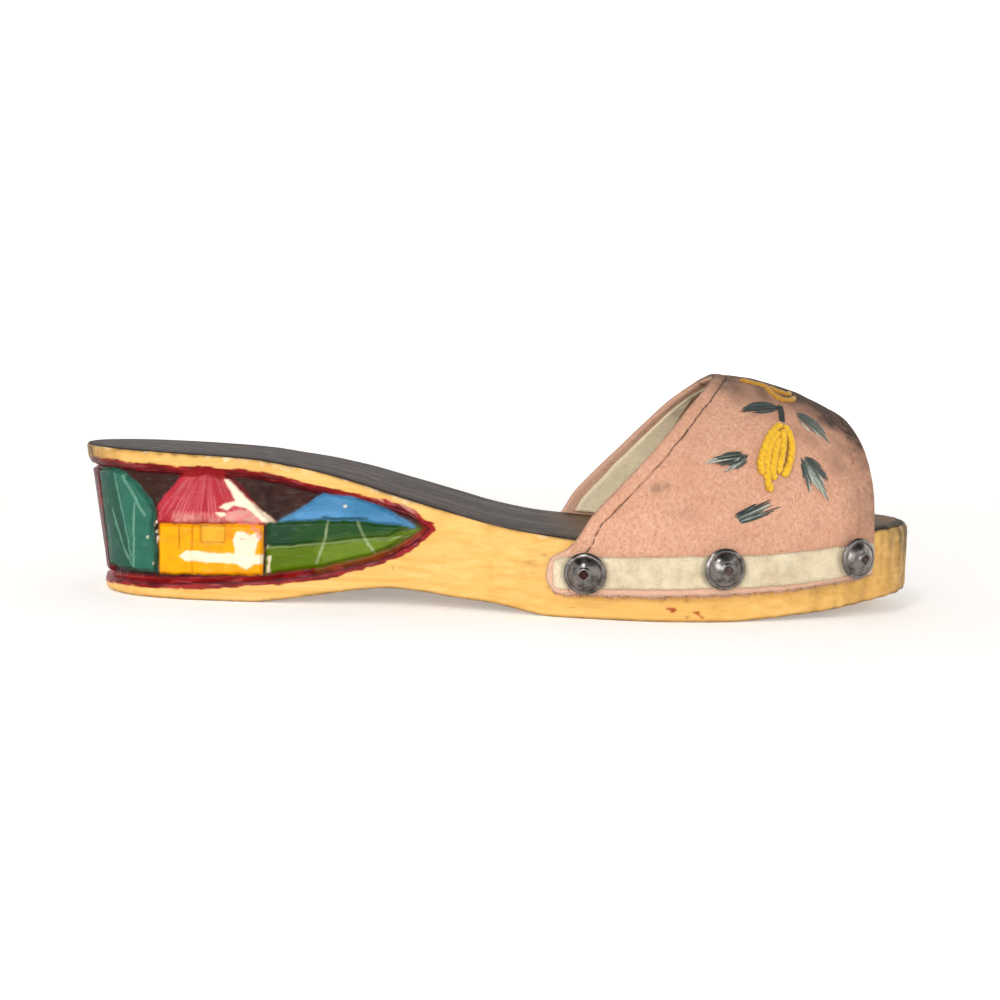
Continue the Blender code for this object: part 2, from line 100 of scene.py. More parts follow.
# Carved motifs: depth of the face, then outline points
MOTIFS = {
    "back": (0.8, ((-16, 5.4), (16, 5.4), (16, 36), (-16, 36))),
    "leaf": (0.5, ((15.5, 7.6), (31, 7.4), (39.5, 7.4), (39.7, 13), (38.2, 21.2), (39.4, 24.5),
                   (37.8, 28), (33.8, 32.4), (28.3, 35.3), (23.5, 36.4), (15.5, 35.8))),
    "roof": (0.7, ((40, 21.6), (75.2, 22.4), (71.2, 25.4), (63, 34), (59.7, 37), (48.7, 36.8),
                   (40, 26.6))),
    "wall": (1.1, ((40.2, 7), (71.2, 7.8), (71, 22), (40.4, 21.3))),
    "hill": (1.5, ((75.2, 22.8), (87.2, 23.9), (95, 24), (113.6, 22.8), (107.7, 26.3), (102, 29),
                   (95, 30.8), (87.8, 31.2), (81.7, 27))),
    "hedge": (1.3, ((72.4, 15.7), (88.3, 17.5), (106, 19.8), (112, 22.6), (95, 23.8), (87.2, 23.7),
                    (72.4, 22.5))),
    "field": (1, ((72.2, 8.2), (86.2, 10.4), (93, 12.2), (102, 14.6), (108.2, 17.6), (114.7, 22.2),
                  (106, 19.6), (88.3, 17.3), (72.2, 15.5))),
}

# Vamp along its length: distance from the heel back, inner height of the ridge, lower margin's height
VAMP = (
    (136, 62, 6.6), (165, 65.3, 7.2), (184, 66.2, 7.9), (196, 65.4, 8.4), (208, 62.2, 9.4),
    (214, 59.5, 10.2), (220, 56.6, 11), (226, 52.6, 11.8), (234, 46, 12.8),
)
# Vamp across: fraction from the ridge (0) to the lower margin (1), throat edge, front edge
VAMP_HALF = (
    (0, 185, 224), (0.16, 181.9, 225), (0.34, 173.6, 227), (0.52, 162.3, 228.3), (0.61, 155.3, 228.7),
    (0.72, 147.4, 228.9), (0.80, 143.6, 229), (0.84, 140.8, 229), (0.88, 136.6, 229), (0.94, 135.8, 229),
    (1, 138.4, 229),
)
VAMP_EDGES = tuple((-f, t, e) for f, t, e in reversed(VAMP_HALF[1:])) + VAMP_HALF
# Edge band: distance from the heel back, height of its lower edge
BAND_LINE = ((136, 8.1), (152, 9), (168, 9.6), (180, 10), (192, 10.2), (205, 11),
             (220, 12.5), (234, 14))
BAND_START, BAND_END = 138, 228.2
# Nails: name, distance from the heel back, height
NAILS = (("rear", 146.6, 13.2), ("middle", 183.3, 15.5), ("front", 222.3, 17.7))

# Fineness of the sole's surface
CARVED_END = 123
CARVED_STEP = 0.36
PLAIN_STEP = 1.6
SPATTER_STEP = 0.5
WALL_ROWS = 90
ROUND_STEPS = 4
CAP_RUNGS = 6

# Carved lines on the motifs
VEINS = (((24.8, 34.5), (28, 22), (30.2, 11.5)), ((22.2, 24.5), (26.5, 14), (30.6, 8.6)),
         ((32.9, 27), (32, 16), (31.4, 8.6)), ((28.6, 34.4), (32.5, 29.6), (36.4, 23.6)))
MIDRIB_LEAN = 0.24
PATHS = (((89.4, 23.6), (88.3, 18), (86.4, 11.6)), ((97.6, 23.6), (99.8, 18.8), (102.7, 14.9)))
DOOR_LINES = (((47, 21), (47, 14.2)), ((51.1, 21.2), (51, 8)))
WINDOW = ((53.4, 16.8), (60.3, 16.8), (60.3, 21.4), (53.4, 21.4))
# Thatch: grooves fan out from the ridge to the eave, both given as height, first and last position
THATCH_RIDGE = (35.6, 49.6, 59)
THATCH_EAVE = (22.6, 39, 68)
THATCH_LINES = 24
GABLE_EDGE = ((60.6, 36), (66.6, 30.2), (72.2, 25.2))
WALL_SHADE = ((60.8, 17.5), (62.6, 18.2), (62.8, 21.6), (60.4, 21.6))
WALL_STREAK = ((64.6, 17.5), (70.6, 18), (70.8, 21.8), (64.6, 21.8))
# Worn patches of the hut's paint
WORN_THATCH = (
    ((59.4, 35.6), (61.2, 34.8), (66.5, 29.4), (75.2, 22.4), (72.6, 22), (69.4, 24.4), (66.2, 26.8),
     (62.6, 27.4), (60.8, 26.2), (58.6, 26.9), (60.4, 28.2), (63, 28.8), (61.8, 31.6)),
    ((57.6, 25.2), (60.2, 25.6), (61, 24.6), (59.4, 24)),
)
PINK_THATCH = ((61, 25.8), (63.5, 26.4), (66.8, 26.3), (68.8, 24.6), (71, 23.2), (69, 22), (62, 22),
               (60.4, 23.6))
WALL_CREAM = (
    ((47, 12.4), (48.8, 11.2), (71.2, 10.9), (71.2, 13.6), (49.5, 13.9)),
    ((63, 12.5), (65, 10.2), (66.5, 9.4), (68.4, 10.8), (69, 14), (69.6, 17.2), (70.8, 18.8), (69, 19.6),
     (67.2, 18.9), (65.6, 20), (63.6, 19.7), (62.6, 17.6), (63.4, 15.2)),
)
# Chips along the footbed's edge: distance round the heel, half width, depth
CHIPS = ((37.5, 0.8, 0.5), (41.5, 1.6, 0.8), (46, 1.1, 0.6), (51.5, 2, 0.5), (72, 1, 0.35),
         (104, 2.2, 0.3), (-44, 1.5, 0.4), (-66, 1, 0.3), (-92, 1.8, 0.3))
# Pale bare wood along that edge: start and end round the heel, reach downwards, strength
BARE_EDGES = ((17, 25, 1.2, 0.8), (36.5, 41.5, 1.7, 0.95), (53, 62, 1.6, 0.9), (58, 86, 2.6, 0.5),
              (92, 116, 1.5, 0.75), (150, 163, 1.2, 0.7))
# Dirty spots on the plain wood: distance from the heel back, height, radius, strength
WOOD_SPOTS = ((131.4, 15, 1.5, 0.40), (134.6, 17.2, 1, 0.35), (128.5, 12, 1.2, 0.20), (174.4, 6.3, 0.7, 0.5),
              (167.2, 6.5, 0.9, 0.35), (182, 4, 0.8, 0.2), (174.6, 1.6, 0.4, 0.6), (212, 8, 1, 0.25))
# Flats that a knife left round the toe
FACETS_FROM = 205
FACET_WIDTH = 6.5
FACET_DEPTH = 0.55

# Colours
TINTS = dict(
    wood="deae62", wood_light="ebbf76", wood_dark="cb9a4e", wood_bare="f3d8b0",
    crimson="830c10", crimson_light="a31d22", maroon="33090f", purple="4f101c",
    sky="341d17", sky_dark="21110e", sky_light="503529",
    leaf="2b6453", leaf_dark="1f4a3c", vein="78a892",
    thatch="b5303f", thatch_light="d9727a", thatch_pink="d59a8e", cream="f3e2c6",
    gold="f0a000", gold_line="9c6a10", pane="e0a22c", orange="e8871a",
    blue="37749c", blue_light="5e97c6", hedge="1f451c", hedge_dark="18382a",
    field="506900", field_light="6b8426", path="a9b788", ink="1d100d",
    footbed="4b413d", footbed_dark="2b2421", footbed_pale="85786e", footbed_brown="6d543c",
    grime_and_shade="2a2019",
    suede="e3aa8a", suede_pale="eebfa2", suede_red="d19478", suede_soil_and_shade="262220", suede_faded_and_lit="f6c9ae",
    # The facing tint is paler than the tape's, partly its own cream and partly painted light on the shaded
    # inside of the throat.
    tape="d2c2a2", tape_pale="e0d2b4", tape_stain="ac8f6c", facing="ffefc6",
    pewter="86827f", pewter_dark="4c4846", rust="5a2f20",
    floss="ecb80c", floss_deep="8a5703", slate="1e2927", slate_mid="3c4a46", slate_pale="c0c8bc",
    thread="43261c", spatter="a4401f", floor="f1efec",
)

ENAMEL_DULL = (0.35, 0.32, 0.3, 1)
ENAMEL_GLEAM = (1, 0.95, 0.88, 1)


def tint(name):
    """Linear colour of a named tint."""
    channels = np.array([int(TINTS[name][k:k + 2], 16) / 255 for k in (0, 2, 4)])
    return np.where(channels <= 0.04045, channels / 12.92, ((channels + 0.055) / 1.055) ** 2.4)


def blend(first, second, share):
    return tint(first) + (tint(second) - tint(first)) * share


# Curves and fields

def smooth(rows, column, at):
    """Monotone cubic through one column of a table whose first column rises."""
    table = np.array(rows, float)
    keys, values = table[:, 0], table[:, column]
    slopes = np.diff(values) / np.diff(keys)
    before, after = slopes[:-1], slopes[1:]
    alike = before * after > 0
    middle = np.where(alike, 2 * before * after / np.where(alike, before + after, 1), 0)
    tangents = np.concatenate((slopes[:1], middle, slopes[-1:]))
    at = np.clip(at, keys[0], keys[-1])
    i = np.clip(np.searchsorted(keys, at, side="right") - 1, 0, len(keys) - 2)
    width = keys[i + 1] - keys[i]
    t = (at - keys[i]) / width
    return ((1 + 2 * t) * (1 - t) ** 2 * values[i] + t * (1 - t) ** 2 * width * tangents[i]
            + t * t * (3 - 2 * t) * values[i + 1] + t * t * (t - 1) * width * tangents[i + 1])


LATTICE_SIZE = 128
LATTICE = np.random.default_rng(11).random((LATTICE_SIZE, LATTICE_SIZE)) * 2 - 1
LAYER_SHIFTS = (17.3, 31.7)
FIELD_ORIGIN = 500


def field(u, v, size, layer):
    """Smooth random field from -1 to 1 with features of about that size."""
    shifts = (shift * layer for shift in LAYER_SHIFTS)
    u, v = (np.asarray(at, float) / size + shift + FIELD_ORIGIN for at, shift in zip((u, v), shifts))
    i, j = np.floor(u).astype(int), np.floor(v).astype(int)
    share_u, share_v = (t * t * (3 - 2 * t) for t in (u - i, v - j))
    corners = [[LATTICE[(i + a) % LATTICE_SIZE, (j + b) % LATTICE_SIZE] for a in (0, 1)] for b in (0, 1)]
    low, high = (first + (second - first) * share_u for first, second in corners)
    return low + (high - low) * share_v


def ripple(u, v, *layers):
    """Sum of random fields, each given as its height, size and layer."""
    return sum(height * field(u, v, size, layer) for height, size, layer in layers)


def step(distance, softness):
    """0 below, 1 above zero, with a soft edge."""
    return np.clip(distance / softness + 0.5, 0, 1)


def hump(distance, width):
    """Bell of height 1 with that half width."""
    return np.exp(-(np.asarray(distance) / width) ** 2)


def segment_distance(start, end, u, v):
    du, dv = end[0] - start[0], end[1] - start[1]
    t = np.clip(((u - start[0]) * du + (v - start[1]) * dv) / (du * du + dv * dv), 0, 1)
    return np.hypot(u - start[0] - t * du, v - start[1] - t * dv)


def line_distance(line, u, v):
    """Distance to an open line of points."""
    return reduce(np.minimum, (segment_distance(start, end, u, v) for start, end in zip(line, line[1:])))


def loop_distance(loop, u, v):
    """Signed distance to a closed loop, positive inside."""
    closed = loop + loop[:1]
    inside = np.zeros(np.shape(u), bool)
    for (au, av), (bu, bv) in zip(closed, closed[1:]):
        if av != bv:
            inside ^= ((av > v) != (bv > v)) & (u < au + (v - av) * (bu - au) / (bv - av))
    nearest = line_distance(closed, u, v)
    return np.where(inside, nearest, -nearest)


def unit(vectors):
    return vectors / np.linalg.norm(vectors, axis=-1, keepdims=True)


def path_length(points):
    """Distance along a line of points, from the first one to each."""
    return np.concatenate(([0], np.cumsum(np.linalg.norm(np.diff(points, axis=0), axis=1))))


def ring_angles(sides):
    return np.arange(sides) * 2 * math.pi / sides


# Surfaces of the shoe

STATION_STEP = 0.002
SLOPE_STEP = 0.5
AHEAD_STEP, OVER_STEP = 0.4, 0.006
PACE_STEP, LEAST_PACE = 0.004, 0.05


def station_of(x):
    return np.arccos(1 - 2 * np.clip(x, 0, LENGTH) / LENGTH) / math.pi


def x_of(station):
    return LENGTH * (1 - np.cos(math.pi * np.asarray(station))) / 2


OUTLINE_BY_STATION = [(float(station_of(x)), lateral, medial) for x, lateral, medial in OUTLINE]


def edge(side, station):
    """Plan position of the sole's edge, on the lateral or medial side for each station."""
    lateral, medial = (smooth(OUTLINE_BY_STATION, column, station) for column in (1, 2))
    return np.stack((x_of(station), np.where(side == LATERAL, -lateral, medial)), axis=-1)


def outward(side, station):
    """Unit plan normal of the sole's edge."""
    side, station = np.broadcast_arrays(side, np.asarray(station, float))
    before, beyond = (edge(side, np.clip(station + by, 0, 1)) for by in (-STATION_STEP, STATION_STEP))
    run = beyond - before
    normal = unit(np.stack((-side * run[..., 1], side * run[..., 0]), axis=-1))
    normal = np.where((station <= 0)[..., None], (-1, 0), normal)
    return np.where((station >= 1)[..., None], (1, 0), normal)


ARC_STATIONS = np.linspace(0, 1, 1201)
ARCS = {side: path_length(edge(side, ARC_STATIONS)) for side in (LATERAL, MEDIAL)}


def along_at(side, station):
    """Distance round the edge from the heel back."""
    lateral, medial = (np.interp(station, ARC_STATIONS, ARCS[which]) for which in (LATERAL, MEDIAL))
    return np.where(side == LATERAL, lateral, medial)


def footbed(x, side):
    return smooth(PROFILE, 2, x) + np.where(side == MEDIAL, smooth(PROFILE, 3, x), 0)


def side_point(side, station, z, out):
    """Point at a distance out from the side of the sole."""
    base = edge(side, station)
    fade = np.maximum(0, 1 - base[..., 0] / LEAN_REACH) ** 2
    lean = HEEL_LEAN * fade * np.maximum(0, 1 - z / PROFILE[0][2])
    plan = base + outward(side, station) * (out - lean)[..., None]
    return np.concatenate((plan, np.broadcast_to(z, plan.shape[:-1])[..., None]), axis=-1)


def vamp_point(x, across):
    """Inner face of the vamp. Across is -1 at the lateral margin, 0 at the ridge and 1 at the medial one."""
    x, across = np.broadcast_arrays(np.asarray(x, float), np.asarray(across, float))
    side = np.where(across < 0, LATERAL, MEDIAL)
    behind, here, ahead = (edge(side, station_of(x + by))[..., 1] for by in (-SLOPE_STEP, 0, SLOPE_STEP))
    reach = side * here + SEAT_GAP * np.hypot(1, (ahead - behind) / (2 * SLOPE_STEP))
    spring = footbed(x, side)
    fraction = np.abs(across)
    down = np.clip((fraction - SPRING) / (1 - SPRING), 0, 1)
    turn = np.clip(1 - fraction / SPRING, 0, 1) * math.pi / 2
    arch_y = CROWN_OFFSET + (side * reach - CROWN_OFFSET) * np.cos(turn) ** ARCH_FULLNESS
    arch_z = spring + (smooth(VAMP, 1, x) - spring) * np.sin(turn)
    margin_z = spring + (smooth(VAMP, 2, x) - spring) * down
    on_margin = fraction >= SPRING
    y, z = np.where(on_margin, side * reach, arch_y), np.where(on_margin, margin_z, arch_z)
    return np.stack((x, y, z), axis=-1)


def vamp_frame(x, across):
    """Point of the vamp's inner face with its outward normal and its direction towards the toe."""
    x, across = np.asarray(x), np.asarray(across)
    ahead = vamp_point(x + AHEAD_STEP, across) - vamp_point(x - AHEAD_STEP, across)
    before, beyond = (vamp_point(x, np.clip(across + by, -1, 1)) for by in (-OVER_STEP, OVER_STEP))
    return vamp_point(x, across), unit(np.cross(ahead, beyond - before)), unit(ahead)


def vamp_outer(x, across):
    point, normal, _ = vamp_frame(x, across)
    return point + normal * SUEDE


def throat(across):
    return smooth(VAMP_EDGES, 1, across)


def front(across):
    return smooth(VAMP_EDGES, 2, across)


def throat_pace(across):
    """How far the throat's edge is left behind, square to it, for each millimetre along the shoe."""
    before, beyond = (vamp_point(throat(across + by), across + by) for by in (-PACE_STEP, PACE_STEP))
    _, _, ahead = vamp_frame(throat(across), across)
    return np.sqrt(np.maximum(1 - np.sum(ahead * unit(beyond - before), axis=-1) ** 2, LEAST_PACE))


# Pieces

def new_object(name, points, faces, finishes):
    """Smooth object from points in metres."""
    mesh = bpy.data.meshes.new(name)
    mesh.from_pydata(np.asarray(points).tolist(), [], faces)
    for finish in finishes:
        mesh.materials.append(finish)
    mesh.shade_smooth()
    made = bpy.data.objects.new(name, mesh)
    bpy.context.scene.collection.objects.link(made)
    return made


def add_piece(name, points, faces, finishes, replaced=(), face_finish=None, sharp=None):
    """Object from millimetre points that rides on the shoe's one body."""
    metres = (np.reshape(points, (-1, 3)) - (LENGTH / 2, 0, 0)) * MM
    piece = new_object(name, metres, faces, finishes)
    if face_finish is not None:
        piece.data.polygons.foreach_set("material_index", np.asarray(face_finish, np.int32))
    if sharp:
        piece.data.set_sharp_from_angle(angle=math.radians(sharp))
    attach(piece, "root")
    if replaced:
        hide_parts(*replaced)
    return piece


def store(piece, name, values):
    """Colour or single value for each vertex."""
    values = np.asarray(values, np.float32)
    if values.ndim == 2:
        colours = np.concatenate((values, np.ones((len(values), 1), np.float32)), axis=1)
        piece.data.attributes.new(name, "FLOAT_COLOR", "POINT").data.foreach_set("color", colours.ravel())
    else:
        piece.data.attributes.new(name, "FLOAT", "POINT").data.foreach_set("value", values)


def grid_faces(rows, columns, first=0, wrap=False):
    """Quads of a grid of vertices that is stored row by row."""
    last = columns if wrap else columns - 1
    return [(first + i * columns + j, first + i * columns + (j + 1) % columns,
             first + (i + 1) * columns + (j + 1) % columns, first + (i + 1) * columns + j)
            for i in range(rows - 1) for j in range(last)]


def flipped(faces):
    return [face[::-1] for face in faces]


def shell_faces(rows, columns):
    """Faces of an inner and an outer grid and of the strips between their borders."""
    size = rows * columns
    grid = np.arange(size).reshape(rows, columns)
    border = np.concatenate((grid[0], grid[1:, -1], grid[-1, -2::-1], grid[-2:0:-1, 0])).tolist()
    rim = [(b, a, size + a, size + b) for a, b in zip(border, border[1:] + border[:1])]
    return grid_faces(rows, columns) + flipped(grid_faces(rows, columns, size)) + rim


def tube(line, radius, sides, normals):
    """Vertices and faces of a closed tube along a line; the radius may change along and around it."""
    count = len(line)
    along = unit(np.gradient(line, axis=0))
    across = unit(np.cross(along, normals))
    up = np.cross(across, along)
    angle = ring_angles(sides)[None, :, None]
    ring = across[:, None] * np.cos(angle) + up[:, None] * np.sin(angle)
    points = line[:, None] + ring * np.broadcast_to(radius, (count, sides))[..., None]
    faces = flipped(grid_faces(count, sides, wrap=True))
    faces += [tuple(range(sides)), tuple(range((count - 1) * sides, count * sides))[::-1]]
    return points.reshape(-1, 3), faces


class Bundle:
    """Several coloured meshes gathered into one piece."""

    def __init__(self):
        self.points, self.faces, self.tints, self.count = [], [], [], 0

    def add(self, points, faces, colour):
        self.faces += [tuple(k + self.count for k in face) for face in faces]
        self.points.append(points)
        self.tints.append(np.broadcast_to(colour, points.shape))
        self.count += len(points)

    def build(self, name, finish):
        piece = add_piece(name, np.concatenate(self.points), self.faces, [finish])
        store(piece, "paint", np.concatenate(self.tints))


# Materials

class Finish:
    """A Principled material and short calls that add its nodes. A word in place of a colour names a tint."""

    def __init__(self, name, **sockets):
        self.material = bpy.data.materials.new(name)
        self.material.use_nodes = True
        self.tree = self.material.node_tree
        self.finish(**sockets)

    def put(self, node, sockets):
        """Link or set the inputs of a node, named in plain words or by number."""
        for word, value in sockets.items():
            key = word if isinstance(word, int) else word.replace("_", " ").title().replace("Ior", "IOR")
            if isinstance(value, bpy.types.NodeSocket):
                self.tree.links.new(value, node.inputs[key])
            else:
                node.inputs[key].default_value = (*tint(value), 1) if isinstance(value, str) else value

    def new(self, kind, sockets, **settings):
        node = self.tree.nodes.new(f"ShaderNode{kind}")
        for name, value in settings.items():
            setattr(node, name, value)
        self.put(node, sockets)
        return node

    def place(self, scale, turn=(0, 0, 0)):
        """Object coordinates, turned and stretched; the scale is per metre."""
        vector = self.new("TexCoord", {}).outputs["Object"]
        sockets = dict(vector=vector, scale=np.ones(3) * scale, rotation=turn)
        return self.new("Mapping", sockets).outputs["Vector"]

    def noise(self, scale, detail=3, roughness=0.55, turn=(0, 0, 0)):
        """Noise with that many features per metre, the same or different along each axis."""
        sockets = dict(vector=self.place(scale, turn), scale=1, detail=detail, roughness=roughness)
        return self.new("TexNoise", sockets).outputs["Fac"]

    def wave(self, scale, turn):
        sockets = dict(vector=self.place(1, turn), scale=scale, distortion=1.2)
        return self.new("TexWave", sockets).outputs["Fac"]

    def ramp(self, factor, *stops):
        node = self.new("ValToRGB", dict(fac=factor))
        steps = node.color_ramp.elements
        while len(steps) < len(stops):
            steps.new(0.5)
        for element, (position, colour) in zip(steps, stops):
            element.position = position
            element.color = (*tint(colour), 1)
        return node.outputs["Color"]

    def span(self, factor, low, high, to_low, to_high):
        """Values from low to high, moved to another range."""
        sockets = dict(value=factor, from_min=low, from_max=high, to_min=to_low, to_max=to_high)
        return self.new("MapRange", sockets).outputs["Result"]

    def mix(self, factor, first, second, blend_type="MIX"):
        sockets = {0: factor, 6: first, 7: second}
        return self.new("Mix", sockets, data_type="RGBA", blend_type=blend_type).outputs[2]

    def veil(self, tone, colour, factor, low, high, strength, blend_type="MIX"):
        """Colour over a tone, none where the factor is low and up to the strength where it is high."""
        return self.mix(self.span(factor, low, high, 0, strength), tone, colour, blend_type)

    def math(self, operation, first, second):
        return self.new("Math", {0: first, 1: second}, operation=operation, use_clamp=True).outputs[0]

    def stored(self, name, output="Fac"):
        return self.new("Attribute", {}, attribute_name=name).outputs[output]

    def relief(self, *layers):
        """Bumps on top of each other, each given as its height field and its depth in millimetres."""
        under = {}
        for height, depth in layers:
            node = self.new("Bump", dict(height=height, distance=depth * MM, strength=1, **under))
            under = {"normal": node.outputs["Normal"]}
        return under["normal"]

    def finish(self, **sockets):
        self.put(self.tree.nodes["Principled BSDF"], sockets)
        return self.material


def wood_tone(made):
    """Pale varnished wood with fine grain along the shoe."""
    grain = made.noise((16, 520, 520), 5, 0.6)
    pores = made.noise((90, 2400, 2400), 2)
    tone = made.ramp(grain, (0.25, "wood_dark"), (0.48, "wood"), (0.75, "wood_light"))
    tone = made.veil(tone, "wood_dark", made.noise((5, 45, 45), 2), 0.45, 0.75, 0.4)
    return made.veil(tone, "wood_dark", pores, 0.62, 0.74, 0.3), grain, pores


def painted_wood():
    """Varnished wood with brushed enamel where the side is painted."""
    made = Finish("painted_wood", ior=1.5, specular_ior_level=0.12)
    tone, grain, pores = wood_tone(made)
    cover = made.stored("cover")
    brush = made.noise((160, 700, 700))
    blotch = made.noise(300, 4)
    enamel = made.veil(made.stored("paint", "Color"), ENAMEL_DULL, blotch, 0.40, 0.72, 0.28, "MULTIPLY")
    enamel = made.veil(enamel, ENAMEL_GLEAM, brush, 0.60, 0.80, 0.05, "SCREEN")
    soil_and_shade = made.math("MULTIPLY", made.stored("soil_and_shade"), made.span(blotch, 0.25, 0.6, 0.4, 1))
    colour = made.mix(soil_and_shade, made.mix(cover, tone, enamel), "grime_and_shade")
    rough = made.mix(cover, made.span(grain, 0.2, 0.8, 0.40, 0.55), made.span(blotch, 0.3, 0.7, 0.24, 0.42))
    normal = made.relief((grain, 0.08), (pores, 0.06), (made.math("MULTIPLY", brush, cover), 0.14))
    return made.finish(base_color=colour, roughness=rough, normal=normal)


def footbed_wood():
    """Bare wood of the footbed, grey with wear, streaked along the shoe and mottled."""
    made = Finish("footbed_wood", ior=1.45, specular_ior_level=0.12)
    streak = made.noise((7, 190, 60), 6, 0.65)
    cloud = made.noise((30, 45, 45), 4, 0.65)
    blotch = made.noise((260, 200, 200), 4, 0.7)
    fine = made.noise((60, 1500, 900))
    tone = made.ramp(streak, (0.34, "footbed_dark"), (0.52, "footbed"), (0.70, "footbed_pale"))
    tone = made.veil(tone, "footbed_dark", fine, 0.50, 0.66, 0.5)
    tone = made.veil(tone, "footbed_dark", cloud, 0.52, 0.68, 0.55)
    tone = made.veil(tone, "footbed_pale", blotch, 0.54, 0.70, 0.45)
    sheltered = made.mix(0.55, tone, made.veil("footbed_brown", "wood_dark", cloud, 0.3, 0.7, 0.5))
    tone = made.mix(made.stored("shelter"), tone, sheltered)
    tone = made.mix(made.stored("soil_and_shade"), tone, "grime_and_shade")
    rough = made.span(streak, 0.2, 0.8, 0.5, 0.75)
    return made.finish(base_color=tone, roughness=rough, normal=made.relief((streak, 0.3), (fine, 0.15)))


def underside_wood():
    """Scuffed wood of the underside."""
    made = Finish("underside_wood", ior=1.45)
    tone, grain, _ = wood_tone(made)
    scuff = made.noise((60, 160, 60), 6, 0.7)
    tone = made.mix(made.span(scuff, 0.35, 0.65, 0.25, 0.9), tone, "footbed")
    rough = made.span(scuff, 0.2, 0.8, 0.5, 0.8)
    return made.finish(base_color=tone, roughness=rough, normal=made.relief((grain, 0.3)))


def suede_nap():
    """Napped suede: mottled salmon; rubbed pale, dirty and with painted light and shade where that was
    charted.
    """
    made = Finish("suede_nap", ior=1.4, sheen_weight=0.1, sheen_roughness=0.5, sheen_tint="suede_pale")
    nap = made.noise((1100, 1100, 800), 4, 0.75, turn=(0, 0.5, 0))
    fuzz = made.noise(3400, 2)
    tone = made.ramp(nap, (0.34, "suede_red"), (0.5, "suede"), (0.64, "suede_pale"))
    tone = made.veil(tone, "suede_red", made.noise(70, 5, 0.6), 0.42, 0.72, 0.5)
    tone = made.veil(tone, "suede_faded_and_lit", fuzz, 0.5, 0.72, 0.45)
    tone = made.mix(made.stored("faded_and_lit"), tone, "suede_faded_and_lit")
    soil_and_shade = made.math("MULTIPLY", made.stored("soil_and_shade"), made.span(nap, 0.34, 0.60, 0.86, 1.04))
    tone = made.mix(soil_and_shade, tone, "suede_soil_and_shade")
    tone = made.mix(made.stored("ink"), tone, "thread")
    rough = made.span(nap, 0.2, 0.8, 0.85, 1)
    return made.finish(base_color=tone, roughness=rough, normal=made.relief((nap, 0.9), (fuzz, 0.3)))


def woven_tape(name, tones, stain):
    """Plain cotton tape with a fine weave, speckles and stains."""
    made = Finish(name, ior=1.45, sheen_weight=0.2)
    weave = made.math("MULTIPLY", made.wave(560, (0, 0, 0)), made.wave(560, (0, math.pi / 2, 0)))
    cloud = made.noise(130, 5, 0.65)
    speck = made.noise(1500)
    tone = made.ramp(cloud, (0.20, stain), (0.46, tones[0]), (0.66, tones[1]))
    tone = made.veil(tone, stain, speck, 0.55, 0.75, 0.55)
    tone = made.mix(made.stored("soil_and_shade"), tone, "suede_soil_and_shade")
    rough = made.span(cloud, 0.3, 0.7, 0.8, 0.95)
    return made.finish(base_color=tone, roughness=rough, normal=made.relief((weave, 0.12), (speck, 0.25)))


def dark_pewter():
    """Dull polished metal with scratches, tarnish and rust in the pit."""
    made = Finish("dark_pewter", metallic=1)
    cloud = made.noise(420, 4, 0.6)
    scratch = made.noise((2500, 2500, 260), turn=(0.3, 0.9, 0.2))
    rust = made.stored("rust")
    tone = made.mix(rust, made.ramp(cloud, (0.35, "pewter_dark"), (0.62, "pewter")), "rust")
    rough = made.math("ADD", made.span(cloud, 0.3, 0.7, 0.17, 0.28), rust)
    return made.finish(base_color=tone, roughness=rough, normal=made.relief((scratch, 0.015)))


def floss(name, deep, sheen):
    """Embroidery thread: colour by strand, finely ribbed by its plies."""
    made = Finish(name, ior=1.5, sheen_weight=sheen, sheen_roughness=0.4)
    ply = made.noise(2600)
    tone = made.veil(made.stored("paint", "Color"), deep, ply, 0.45, 0.72, 0.55)
    tone = made.veil(tone, deep, made.noise(500), 0.55, 0.75, 0.3)
    rough = made.span(ply, 0.3, 0.7, 0.5, 0.75)
    return made.finish(base_color=tone, roughness=rough, normal=made.relief((ply, 0.25)))


def floor_finish():
    """Pale paper that glows a little away from the shoe."""
    made = Finish("pale_floor", roughness=1, specular_ior_level=0, emission_color=(1, 1, 1, 1))
    return made.finish(base_color="floor", emission_strength=made.stored("glow"))


# Carving and paint of the sole

def panel_loop():
    """Outline of the carved panel round the heel, counter-clockwise."""
    along = np.linspace(0, PANEL[-1][0], 61)
    lower, upper = (list(zip(along, smooth(PANEL, column, along))) for column in (1, 2))
    half = lower + upper[::-1]
    return [(-u, z) for u, z in reversed(lower[1:])] + half + [(-u, z) for u, z in upper[1:]]


def thatch_lines():
    tops, feet = (np.linspace(first, last, THATCH_LINES) for _, first, last in (THATCH_RIDGE, THATCH_EAVE))
    return [((top, THATCH_RIDGE[0]), (foot, THATCH_EAVE[0])) for top, foot in zip(tops, feet)]


PANEL_LOOP = panel_loop()
THATCH = thatch_lines()
# Grooves: motif, lines, half width, depth
GROOVES = (("leaf", VEINS, 0.55, 0.55), ("roof", THATCH, 0.40, 0.26), ("hedge", PATHS, 0.5, 0.35),
           ("field", PATHS, 0.5, 0.35), ("wall", DOOR_LINES, 0.32, 0.45))
LEAF_STEP = 0.35
WINDOW_DEPTH = 0.45
CUT_WANDER = ((0.22, 3, 1), (0.22, 3, 2))
GROUND_MARKS = ((0.22, 2.4, 3), (0.12, 1.1, 4))
TOOL_MARKS = ((0.05, 5, 5), (0.03, 1.6, 6))


def left_of_midrib(reach, v):
    """Distance from the leaf's middle vein towards the heel back."""
    top_reach, top_v = VEINS[0][0]
    return top_reach + (top_v - v) * MIDRIB_LEAN - reach


